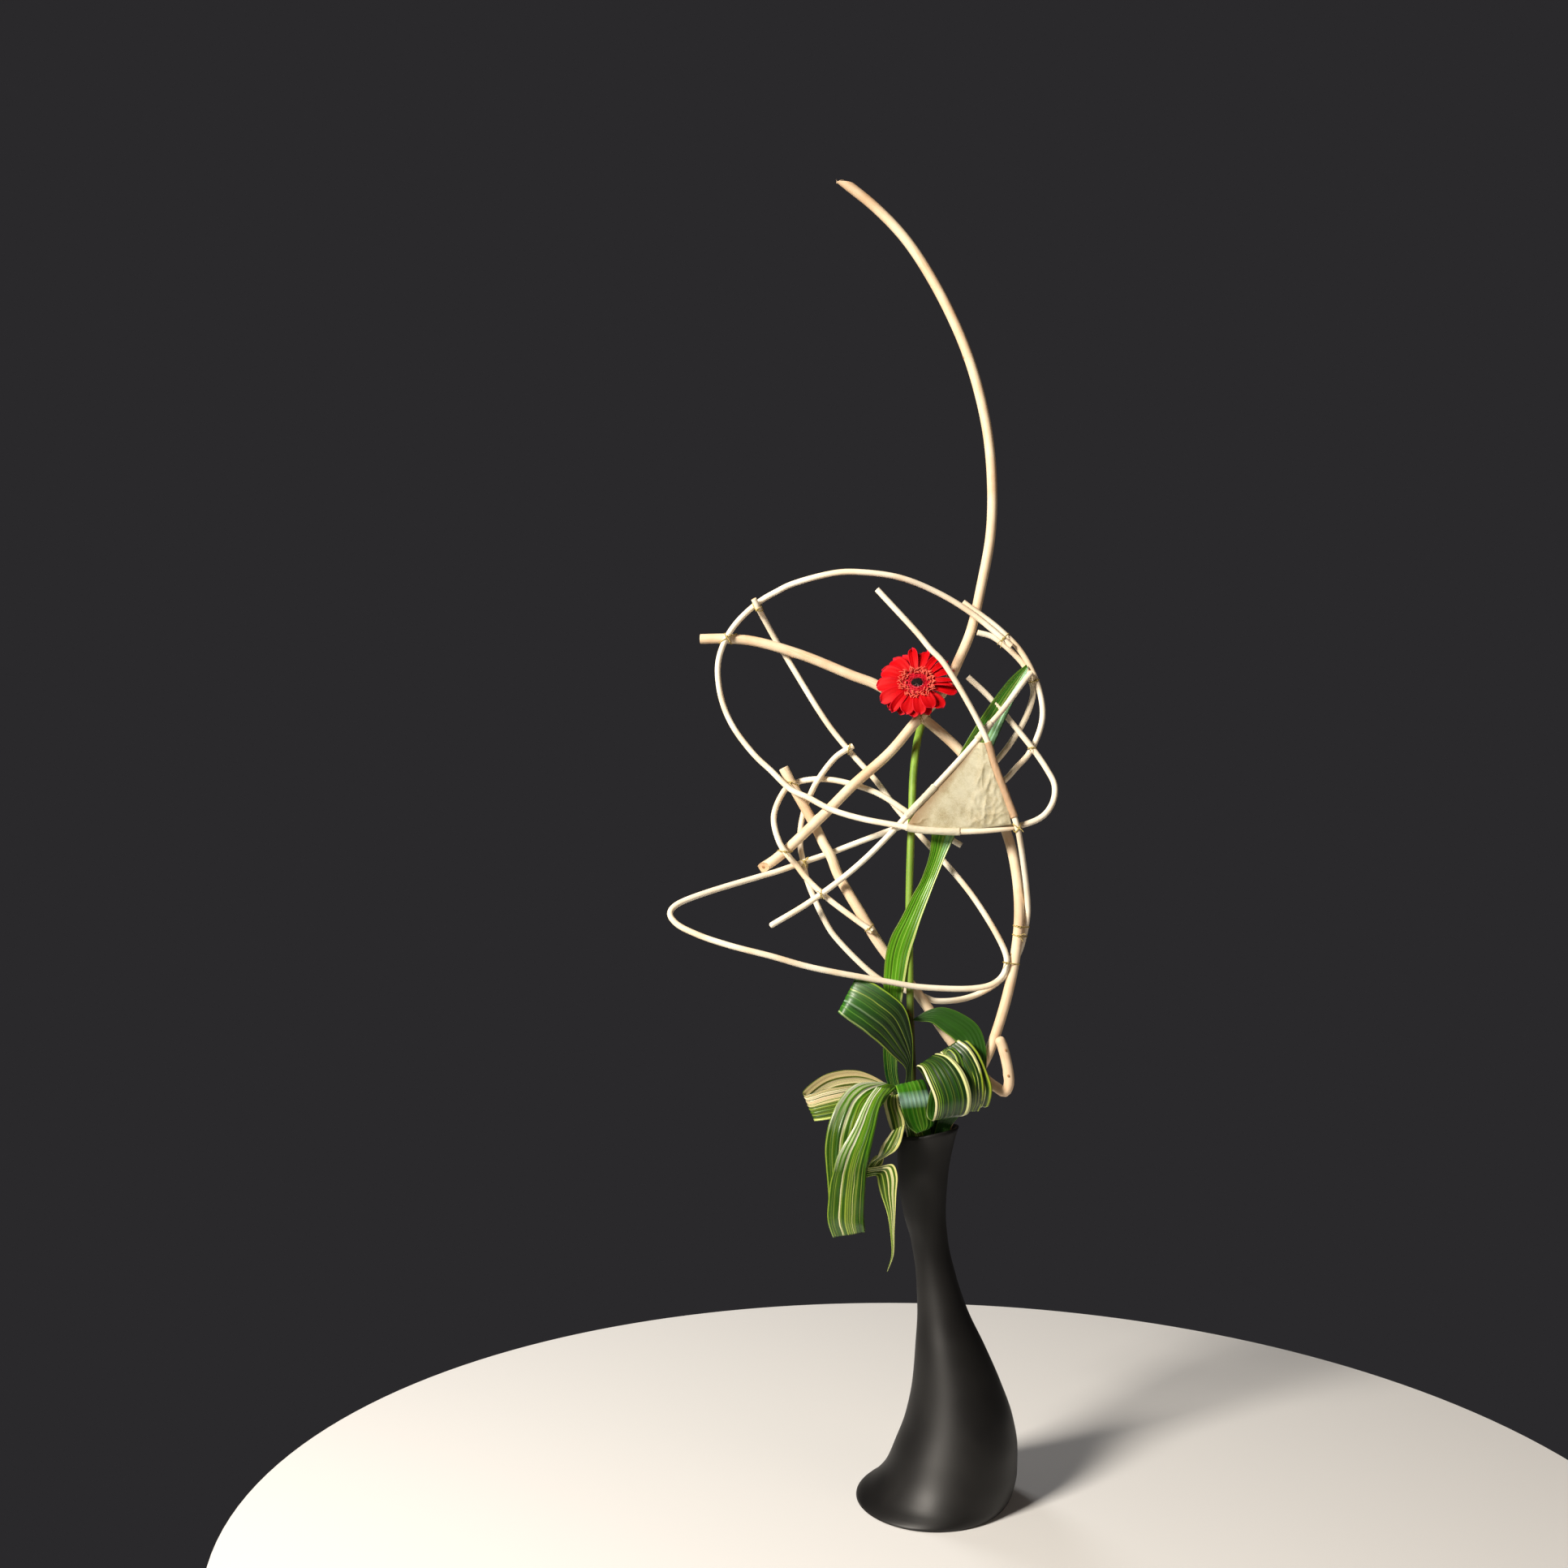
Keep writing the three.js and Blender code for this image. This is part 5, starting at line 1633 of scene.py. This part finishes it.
            # Towards the foot the left third is pale and bluish white: the leaf's cream stripes with painted
            # highlight over them.
            bands(
                "#4F8410", (0.06, 0.1, "#D9E3C0"), (0.2, 0.07, "#BCCF98"), (0.34, 0.09, "#EEF0D6"),
                (0.5, 0.04, "#7EA426"), (0.67, 0.03, "#B9D0A0"), (0.85, 0.06, "#2F6210"),
            ),
            change=(0.62, 0.4), lines=(0.28, 0.6), roughness=0.3, coat=0.5,
        ),
        ruffle_mm=0.5, pleats=9,
        strips=(
            (
                ((-53, -48, 395), (-39, -46.5, 394)), ((-60, -59.5, 387), (-46, -58.5, 386)),
                ((-67, -69, 375), (-50, -67, 376)), ((-73, -74, 362), (-53, -71.5, 362)),
                ((-80, -76.5, 350), (-56, -74, 349)), ((-87, -77, 338), (-59, -75, 336)),
                ((-92, -77, 323), (-61.5, -75, 323)), ((-95, -76, 310), (-62.5, -75, 309)),
                ((-97, -75, 294), (-63.5, -74.5, 294)), ((-97.5, -74, 274), (-64, -73.5, 275)),
                ((-93, -71.5, 259.5), (-63, -72, 265)),
            ),
        ),
    ),
    Leaf(
        "leaf_twisted",
        (
            ((-15, -16, 322), (-8, -16, 322)), ((-17, -19, 347), (-9, -19, 347)),
            ((-35, -26, 378), (-28, -25, 379)), ((-42, -34, 385), (-32, -32, 386)),
            ((-46, -41, 381), (-31, -39, 376)), ((-43, -46, 366), (-26, -44, 362)),
            ((-38, -47, 352), (-28, -47, 351)), ((-36, -43, 344), (-36, -53, 344)),
            ((-37, -49, 335), (-45, -49, 342)), ((-46, -54, 333), (-46, -45, 333)),
            ((-54, -50, 331), (-48, -51, 322)), ((-61, -51, 322), (-62, -52, 313)),
            ((-63, -55, 321), (-63, -56, 312)), ((-50, -58, 323), (-53, -57, 314)),
            ((-37, -59, 325), (-52, -58, 312)), ((-33, -59, 316), (-51, -58, 305)),
            ((-34, -58, 298), (-48, -57, 295)), ((-35, -57, 281), (-43, -56, 280)),
            ((-36, -55, 262), (-40, -54, 262)), ((-37, -54, 240), (-39, -54, 240)),
            ((-43, -53, 224), (-43, -53, 225)),
        ),
        StripedBlade(
            "leaf_twisted_face",
            bands(
                "#42640F", (0.05, 0.1, "#D8D68A"), (0.27, 0.12, CREAM), (0.5, 0.07, "#DDD893"),
                (0.72, 0.04, "#9FB044"), (0.95, 0.08, "#B5C564"),
            ),
            lines=(0.3, 0.5), veins=12,
        ),
        StripedBlade(
            "leaf_twisted_back",
            bands(
                "#3A5C0E", (0.1, 0.18, "#DDD9A0"), (0.42, 0.06, "#8FA23C"), (0.64, 0.08, "#CBCB86"),
                (0.9, 0.16, "#D8D68A"),
            ),
            lines=(0.3, 0.5), veins=12,
        ),
        pleats=3, strips=(TWIST_WRAP,),
    ),
)

# ---------------------------------------------------------------- gerbera


@dataclass
class Gerbera:
    """One red gerbera: two rows of ray florets, the coral ring of disc florets, the eye and the stem.

    A ray floret is (degrees anticlockwise from the top, length, width, fold), and a row of strands is
    (radius, count, length, width, lean).
    """

    head: Point = (-13, -15, 782)
    looks: Point = (-0.05, -0.89, 0.45)
    disc_mm: float = 3.6
    front: tuple[tuple[float, float, float, float], ...] = (
        (8, 39, 12, 0.7), (-13, 38, 10.5, 0.2), (39, 37.5, 16, 0), (66, 37.5, 16, 0), (95, 39.5, 16.5, 0),
        (122, 40.5, 14, 0), (145, 41, 10.5, 0.4), (164, 37.5, 14, 0), (186, 36.5, 13.5, 0), (208, 34, 14, 0),
        (-90, 36.5, 8, 0.8), (-101, 36, 8, 0.8), (-34, 37, 10, 0.6), (-52, 37.5, 9.5, 0.6), (-71, 38, 10, 0.5),
    )
    back: tuple[tuple[float, float, float, float], ...] = (
        (24, 36.5, 14, 0), (53, 34, 14, 0), (81, 35, 14, 0), (109, 36.5, 14, 0), (135, 38, 13, 0), (155, 37, 13, 0),
        (176, 38, 14, 0), (197, 36.5, 13, 0), (222, 37.5, 15, 0), (256, 40.5, 13, 0), (-60, 38.5, 13, 0),
        (-23, 37.5, 12, 0), (-2, 37.5, 12, 0),
    )
    strands: tuple[tuple[float, int, float, float, float], ...] = (
        (14.9, 38, 6.6, 2.1, 0.9), (13.2, 34, 6.2, 2.0, 0.5), (11.2, 26, 5.2, 1.8, 0.2),
    )
    stem: tuple[Point, ...] = (
        (0, 8, 120), (-5, 6, 207), (-9, 6, 242), (-11, 6, 265), (-17, 8, 318), (-19, 6, 370), (-19, 3, 410),
        (-20, -2, 437), (-21, -5, 499), (-21, -5, 578), (-18, -3, 661), (-17, 4, 689), (-13, 19, 726),
        (-8, 30, 748), (-7, 26, 760), (-10, 6, 772), (-13, -7, 778),
    )
    stem_mm: float = 4.0
    seed: int = 11
    # In each petal skin the first colour is painted shade at the root and the last a painted highlight at the rim.
    petal: PetalSkin = PetalSkin("red_petal_skin", "#8E0003", "#C60009", "#E0203C")
    coral: PetalSkin = PetalSkin("coral_floret_skin", "#D8322A", "#F4604E", "#FF9C88", ribs=3.0)
    bristles: tuple[SoftSkin, SoftSkin] = (
        SoftSkin("dark_bristle", "#040101", "#120304", roughness=1.0),
        SoftSkin("pale_bristle", "#E58A94", "#F7C3C8"),
    )
    stalk: tuple[SoftSkin, SoftSkin] = (
        SoftSkin("stem_skin", "#688E2C", "#86AA3E", grain=(260.0, 260.0, 14.0), shaded="#2E3E0C"),
        SoftSkin("bract_skin", "#55701C", "#8FA63A", grain=(700.0, 700.0, 200.0)),
    )

    PETAL_ROOT = 7.0  # how far from the head's middle a ray floret begins
    GOLDEN_TURN = 2.39996  # the angle between one bristle and the next
    CUP = ((-10.8, 3.9), (-8.6, 6.8), (-6.6, 9.0), (-4.6, 10.7), (-3.5, 11.2))  # (depth, radius) of the calyx

    @property
    def frame(self) -> Matrix:
        """From the head's own frame, in millimetres with z towards the viewer, to the part's, in metres.

        Returns:
            The matrix.
        """
        facing = Vector(self.looks).normalized()
        sideways = UP.cross(facing).normalized()
        upward = facing.cross(sideways)
        turn = Matrix((sideways, upward, facing)).transposed().to_4x4()
        return Matrix.Translation(metres(self.head)) @ turn @ Matrix.Scale(MM, 4)

    def _petal(
        self, draft: Draft, turn: float, length: float, width: float, fold: float, lift: float, luck: random.Random
    ) -> None:
        """Adds one ray floret.

        Args:
            draft: the mesh that it joins.
            turn: its angle round the head, anticlockwise from the top.
            length: from the head's middle to its tip, in millimetres.
            width: at its broadest.
            fold: how far its two halves are folded together.
            lift: how far in front of the head's plane its root lies.
            luck: the draw for its small differences.
        """
        root = self.PETAL_ROOT
        arch = luck.uniform(3.4, 5.2)
        droop = luck.uniform(2.8, 5.2)
        tilt = luck.uniform(0.7, 1.5)
        sway = luck.uniform(-1.2, 1.2)
        notch = luck.uniform(0.3, 1.4)
        phase = luck.uniform(0, 6.3)
        spin = self.frame @ Matrix.Rotation(turn, 4, "Z")

        def place(u: float, v: float) -> Vector:
            """The point at a share across and a share out from the root."""
            side = 2 * u - 1
            half = width / 2 * (0.3 + 0.7 * math.sin(min(1.0, 1.25 * v) * math.pi / 2))
            half *= math.sqrt(max(0.012, 1 - max(0.0, (v - 0.72) / 0.28) ** 2.4))
            out = root + (length - root) * v - notch * math.exp(-((side / 0.3) ** 2)) * v**10
            x = side * half * (1 - 0.45 * fold * v) + sway * v * v
            height = lift + arch * math.sin(2.4 * v) - droop * v * v
            height += (1.3 * side * side + tilt * side) * v + 5.0 * fold * abs(side) * v
            ribs = math.cos(3 * math.pi * side) * math.sin(math.pi * min(1, 1.1 * v))
            height -= 0.18 * ribs * smooth(1.0, 0.7, abs(side))
            height += 0.5 * math.sin(phase + 7 * v) * side * v
            return spin @ Vector((x, out, height))

        draft.sheet(12, 18, place)

    def build_rays(self) -> None:
        """Builds the two rows of ray florets and the core that holds them."""
        luck = random.Random(self.seed)
        draft = Draft("gerbera_rays")
        for lift, row in ((1.0, self.front), (-2.2, self.back)):
            for degrees, length, width, fold in row:
                self._petal(draft, math.radians(degrees), length, width, fold, lift, luck)
        draft.cone(32, (10, 14.5), 6, self.frame @ Matrix.Translation((0, 0, 0.2)))
        thicken(draft.piece([self.petal], Slot.PETAL, "gerbera_ray_florets", 180, outward=False), 0.4 * MM)

    @property
    def middle(self) -> Matrix:
        """The frame of the head's middle, which the photograph's view lowers a little."""
        return self.frame @ Matrix.Translation((0.4, -2.0, self.disc_mm))

    def build_disc(self) -> None:
        """Builds the disc: two rows of coral strands curled over each other round a band of short red florets."""
        luck = random.Random(self.seed + 1)
        draft = Draft("gerbera_disc")
        for radius, count, length, width, lean in self.strands:
            for i in range(count):
                turn = TURN * (i + luck.uniform(-0.4, 0.4)) / count
                curl = luck.choice((-1, 1)) * luck.uniform(0.5, 1.6)
                size = length * luck.uniform(0.75, 1.25)
                out, tilt = radius + luck.uniform(-0.8, 0.8), lean + luck.uniform(-0.35, 0.35)
                self._strand(draft, turn, out, size, width, tilt, curl)
        for radius, count in ((9.4, 22), (7.6, 18)):
            for i in range(count):
                turn = TURN * (i + luck.uniform(-0.3, 0.3)) / count
                size, curl = luck.uniform(2.0, 3.0), luck.uniform(-0.5, 0.5)
                self._strand(draft, turn, radius, size, 1.5, 0.2, curl, finish=1)
        draft.cone(40, (15.5, 11.5), 2.4, self.middle @ Matrix.Translation((0, 0, -0.4)), finish=1)
        made = draft.piece([self.coral, self.petal], Slot.FLORET, "gerbera_disc_florets", 180, outward=False)
        thicken(made, 0.3 * MM)

    def _strand(
        self, draft: Draft, turn: float, radius: float, length: float, width: float, lean: float, curl: float,
        finish: int = 0,
    ) -> None:
        """Adds one small disc floret, a narrow strap that curls outwards and aside.

        Args:
            draft: the mesh that it joins.
            turn: its angle round the disc.
            radius: how far from the disc's middle it is rooted, in millimetres.
            length: along it.
            width: at its broadest.
            lean: how far it leans outwards, in radians.
            curl: how far it curls aside.
            finish: the index of the finish.
        """
        spin = self.middle @ Matrix.Rotation(turn, 4, "Z")

        def place(u: float, v: float) -> Vector:
            """The point at a share across and a share up."""
            side = 2 * u - 1
            half = width / 2 * (0.75 + 0.25 * math.sin(math.pi * v)) * math.sqrt(max(0.05, 1 - v**5))
            out = radius + length * 0.75 * math.sin(lean * 1.2) * v - 0.5 * side * side
            up = 0.6 + length * 0.42 * math.sin(2.3 * v) * math.cos(lean * 0.5)
            aside = curl * length * 0.42 * v * v
            x, y = side * half * math.cos(curl * v) + aside, out + side * half * math.sin(curl * v)
            return spin @ Vector((x, y, up))

        draft.sheet(2, 6, place, finish=finish)

    def build_eye(self) -> None:
        """Builds the dark eye: an uneven low tuft of bristles, with pink ones along its lower edge."""
        luck = random.Random(self.seed + 2)
        draft = Draft("gerbera_eye_bristles")
        half_axes = [self.middle.to_3x3() @ Vector(axis) for axis in ((5.8, 0, 0), (0, 4.8, 0), (0, 0, 1.5))]
        draft.ball(self.middle @ Vector((0, 0, 0.6)), half_axes, detail=3)
        count = 120
        for i in range(count):
            turn = i * self.GOLDEN_TURN
            edge = 6.9 + 0.9 * math.sin(3 * turn + 0.8) + 0.6 * math.sin(5 * turn)
            out = edge * math.sqrt((i + 0.5) / count)
            tall = luck.uniform(1.2, 2.2)
            base = Vector((out * math.cos(turn), 0.84 * out * math.sin(turn), 1.1 - 0.02 * out * out))
            lean = Vector((math.cos(turn), math.sin(turn), 0)) * 0.11 * out
            turned = (UP + lean).to_track_quat("Z", "Y").to_matrix().to_4x4()
            matrix = self.middle @ Matrix.Translation(base) @ turned @ Matrix.Translation((0, 0, tall / 2))
            pale = base.y < -1.8 and base.x > -4.5 and out > 2.4 and luck.random() < 0.55
            draft.cone(4, (0.5, 0.14), tall, matrix, finish=int(pale))
        draft.piece(self.bristles, Slot.EYE, "gerbera_eye", sharp_deg=60)

    def build_stem(self) -> None:
        """Builds the stem and the calyx of overlapping bracts behind the head."""
        draft = Draft("gerbera_stalk")
        route = Route(self.stem)
        length = route.length
        count = round(length / (3 * MM))
        stations = [length * i / count for i in range(count + 1)]

        def radius(distance: float, angle: float) -> float:
            """A stem is faintly ribbed, slimmer half way and swollen under the head."""
            share = distance / length
            ribs = 0.012 * math.cos(9 * angle) + 0.03 * noise.noise(Vector((0.3, 2.0, distance * 30)))
            swell = 0.08 * smooth(0.93, 1.0, share)
            return self.stem_mm * MM * (0.96 - 0.05 * math.sin(math.pi * share) + ribs + swell)

        draft.close(draft.tube(route, radius, 22, stations))
        frame, cup = self.frame, self.CUP

        def shell(u: float, v: float) -> Vector:
            """The cup under the bracts."""
            place = v * (len(cup) - 1)
            span = min(int(place), len(cup) - 2)
            share = place - span
            depth, reach = (low + (high - low) * share for low, high in zip(cup[span], cup[span + 1]))
            angle = TURN * u
            return frame @ Vector((reach * math.cos(angle), reach * math.sin(angle), depth))

        draft.close(draft.sheet(36, 12, shell, weld=True))
        luck = random.Random(self.seed + 3)
        for row, (count, start, size) in enumerate(((15, -10.4, 8.5), (17, -8.2, 9.0), (19, -6.2, 9.0))):
            for i in range(count):
                self._bract(draft, TURN * (i + 0.5 * row) / count, start, size * luck.uniform(0.9, 1.1))
        draft.piece(self.stalk, Slot.STEM, "gerbera_stem", sharp_deg=60)

    def build(self) -> None:
        """Builds the whole flower."""
        self.build_rays()
        self.build_disc()
        self.build_eye()
        self.build_stem()

    def _bract(self, draft: Draft, turn: float, start: float, size: float) -> None:
        """Adds one narrow pointed bract, which lies on the cup.

        Args:
            draft: the mesh that it joins.
            turn: its angle round the head.
            start: the depth of its root, in millimetres.
            size: its length.
        """
        spin = self.frame @ Matrix.Rotation(turn, 4, "Z")

        def side_of(u: float, v: float, lift: float) -> Vector:
            """A point of the bract's face or back."""
            side = 2 * u - 1
            depth = start + size * 0.62 * v
            reach = 11.6 * math.sqrt(max(0.05, (depth + 12.2) / 8.8)) - 1.9 * (1 - v) + 1.2 * v * v
            half = 1.7 * math.sqrt(max(0.0, 1 - v * v)) + 0.08
            return spin @ Vector((side * half, min(reach, 13.2) + lift * (1 - side * side), depth))

        draft.sheet(4, 6, lambda u, v: side_of(u, v, 0.55), finish=1)
        draft.sheet(4, 6, lambda u, v: side_of(1 - u, v, -0.25), finish=1)


# ---------------------------------------------------------------- vase


@dataclass
class Vase:
    """A leaning black vase, thrown and pressed oval, with a slanted mouth and a toe at its lower left."""

    levels: tuple[tuple[float, float, float, float], ...] = (
        (0, -76, 68, 86), (4, -72, 72, 84), (12, -61, 76, 78), (28, -47, 79.5, 71), (50, -37, 80, 64),
        (76, -27, 76, 56), (109, -20, 64.5, 46), (143, -17, 49.5, 36), (175, -15, 34, 27), (207, -16, 23, 21.5),
        (242, -21, 15, 19), (268, -28, 13, 20.5), (303, -33, 15.5, 24), (330, -34, 21, 26.5), (346, -33, 26, 29),
    )
    wall_mm: float = 5
    floor_mm: float = 12
    slant: float = 0.18
    slant_from_mm: float = 250
    ceramic: MatteCeramic = MatteCeramic()

    def _level(self, height: float) -> tuple[float, float, float]:
        """Centre, half width and half depth at a height, eased between the levels.

        Args:
            height: above the foot.

        Returns:
            The three, in millimetres.
        """
        knots = [level[0] for level in self.levels]
        sides = [self._eased(knots, [level[i] for level in self.levels], height) for i in (1, 2, 3)]
        return (sides[0] + sides[1]) / 2, (sides[1] - sides[0]) / 2, sides[2]

    @staticmethod
    def _eased(knots: Sequence[float], values: Sequence[float], at: float) -> float:
        """A smooth value between knots that never passes outside its two neighbours.

        Args:
            knots: where the values are given, rising.
            values: one for each knot.
            at: where the value is wanted.

        Returns:
            The value.
        """
        last = len(knots) - 1
        span = min(last - 1, max(0, next((i for i in range(last) if at <= knots[i + 1]), last - 1)))
        slopes = []
        for i in (span, span + 1):
            before = (values[i] - values[i - 1]) / (knots[i] - knots[i - 1]) if i else None
            after = (values[i + 1] - values[i]) / (knots[i + 1] - knots[i]) if i < last else None
            if before is None or after is None:
                slopes.append(before if after is None else after)
            elif before * after <= 0:
                slopes.append(0.0)
            else:
                slopes.append(2 * before * after / (before + after))
        width = knots[span + 1] - knots[span]
        s = min(1.0, max(0.0, (at - knots[span]) / width))
        return (
            values[span] * (1 + 2 * s) * (1 - s) ** 2
            + slopes[0] * width * s * (1 - s) ** 2
            + values[span + 1] * s * s * (3 - 2 * s)
            - slopes[1] * width * s * s * (1 - s)
        )

    def _profile(self) -> list[tuple[float, float, float]]:
        """(height, inset, share of the radius) from the foot's middle, up the outside and down the inside.

        Returns:
            The profile's points, in millimetres.
        """
        top = self.levels[-1][0]
        foot = [(0.0, 0.0, 0.0), (0.0, 0.0, 0.5), (0.0, 3.0, 1.0), (0.5, 1.0, 1.0), (1.6, 0.2, 1.0)]
        heights = [3 + (top - 3) * (i / 110) for i in range(111)]
        outside = [(height, 0.0, 1.0) for height in heights]
        lip = [(top + 0.7, 0.35, 1.0), (top + 1.2, 1.1, 1.0), (top + 1.35, 2.0, 1.0), (top + 1.0, 2.9, 1.0)]
        wall, floor = self.wall_mm, self.floor_mm
        inside = [(height, wall - 1.5 * smooth(top - 20, top, height), 1.0) for height in reversed(heights[6::2])]
        bottom = [(floor + 2, wall + 8, 1.0), (floor, wall + 12, 1.0), (floor, 0.0, 0.4), (floor, 0.0, 0.0)]
        return [*foot, *outside, *lip, *(spot for spot in inside if spot[0] > floor + 3), *bottom]

    def build(self) -> None:
        """Builds the vase as one closed skin."""
        profile = self._profile()
        last = len(profile) - 1

        def place(u: float, v: float) -> Vector:
            """The point at a share round and a share along the profile."""
            height, inset, share = profile[round(v * last)]
            centre, wide, deep = self._level(height)
            angle = TURN * u
            x = share * math.cos(angle) * (wide - inset)
            rise = self.slant * x * smooth(self.slant_from_mm, self.levels[-1][0], height)
            return metres((centre + x, share * math.sin(angle) * (deep - inset), height + rise))

        draft = Draft("vase_body")
        draft.sheet(112, last, place, (0.4, 0.8), weld=True)
        draft.piece([self.ceramic], Slot.CERAMIC, "vase", sharp_deg=50)


# ---------------------------------------------------------------- stage


@dataclass
class Studio:
    """The pale floor, the soft lights and the camera."""

    camera_at: Point = (-18, -1546, 607)
    turned_left_deg: float = 4.67
    tilted_up_deg: float = 2.87
    lens_mm: float = 36.02
    floor_radius: float = 0.66

    GAP_UNDER = 0.0002  # from the vase's foot to the floor, in metres
    SENSOR_MM = 36.0

    def set_camera(self) -> None:
        """Puts the camera where the photograph was taken from."""
        data = bpy.data.cameras.new("camera")
        data.lens = self.lens_mm
        data.sensor_width = self.SENSOR_MM
        made = bpy.data.objects.new("camera", data)
        made.location = metres(self.camera_at)
        made.rotation_euler = (math.radians(90 + self.tilted_up_deg), 0, math.radians(self.turned_left_deg))
        bpy.context.scene.collection.objects.link(made)
        bpy.context.scene.camera = made

    def lay_floor(self) -> None:
        """Lays a round pale board under the vase."""
        bm = bmesh.new()
        radius, depth = self.floor_radius, 0.02
        bmesh.ops.create_cone(bm, cap_ends=True, segments=160, radius1=radius, radius2=radius, depth=depth)
        bmesh.ops.translate(bm, verts=bm.verts, vec=(0, 0, -depth / 2 - self.GAP_UNDER))
        mesh = bpy.data.meshes.new("floor")
        bm.to_mesh(mesh)
        bm.free()
        mesh.materials.append(PaintedBoard().material())
        floor = bpy.data.objects.new("floor", mesh)
        bpy.context.scene.collection.objects.link(floor)
        floor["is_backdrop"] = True

    def light(
        self, name: str, at: Point, target: Point, size: float, power: float, colour: str, glossy: bool = True
    ) -> None:
        """Adds one soft square light that faces a target.

        Args:
            name: the light's.
            at: its place, in metres.
            target: what it faces.
            size: its side.
            power: in watts.
            colour: an sRGB hex value.
            glossy: whether gloss mirrors it.
        """
        data = bpy.data.lights.new(name, "AREA")
        data.shape = "SQUARE"
        data.size = size
        data.energy = power
        data.color = srgb(colour)[:3]
        made = bpy.data.objects.new(name, data)
        made.location = at
        made.rotation_euler = (Vector(target) - Vector(at)).to_track_quat("-Z", "Y").to_euler()
        made.visible_glossy = glossy
        bpy.context.scene.collection.objects.link(made)

    def set_lights(self) -> None:
        """A warm key from the left, a weak fill from the right, a rim from behind, and a dim grey room."""
        middle = (0, 0, 0.65)
        self.light("key", (-1.7, -1.8, 1.75), middle, 0.7, 140, "#FFF6EA")
        self.light("fill", (2.2, -1.6, 1.0), middle, 1.6, 9, "#F3DCC6", glossy=False)
        self.light("rim", (-1.2, 1.9, 1.9), middle, 0.9, 18, "#FFFFFF", glossy=False)
        world = bpy.data.worlds.new("room")
        world.use_nodes = True
        back = world.node_tree.nodes["Background"]
        back.inputs["Color"].default_value = srgb("#2A292B")
        back.inputs["Strength"].default_value = 1.0
        bpy.context.scene.world = world
        bpy.context.scene.view_settings.view_transform = "Standard"


# ---------------------------------------------------------------- main


def corners() -> list[list[float]]:
    """The whole object's box, as plain lists."""
    return [list(corner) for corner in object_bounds()]


def main() -> None:
    """Builds every piece in order."""
    logging.basicConfig(level=logging.INFO, format="%(message)s")
    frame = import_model()
    sizes = {"cad": corners()}
    studio = Studio()
    studio.set_camera()
    studio.lay_floor()
    studio.set_lights()
    for part in (*STICKS.values(), *LASHINGS, PaperTriangle(), *LEAVES, Gerbera(), Vase()):
        part.build()
    water = frame["nodes"]["water"]
    water.data.materials.clear()
    water.data.materials.append(StillWater().material())
    LOG.info("water: the node itself, with its own finish")
    sizes["visual"] = corners()
    for key, box in sizes.items():
        LOG.info("%s box: %s", key, [[round(value / MM, 2) for value in corner] for corner in box])


if __name__ == "__main__":
    main()
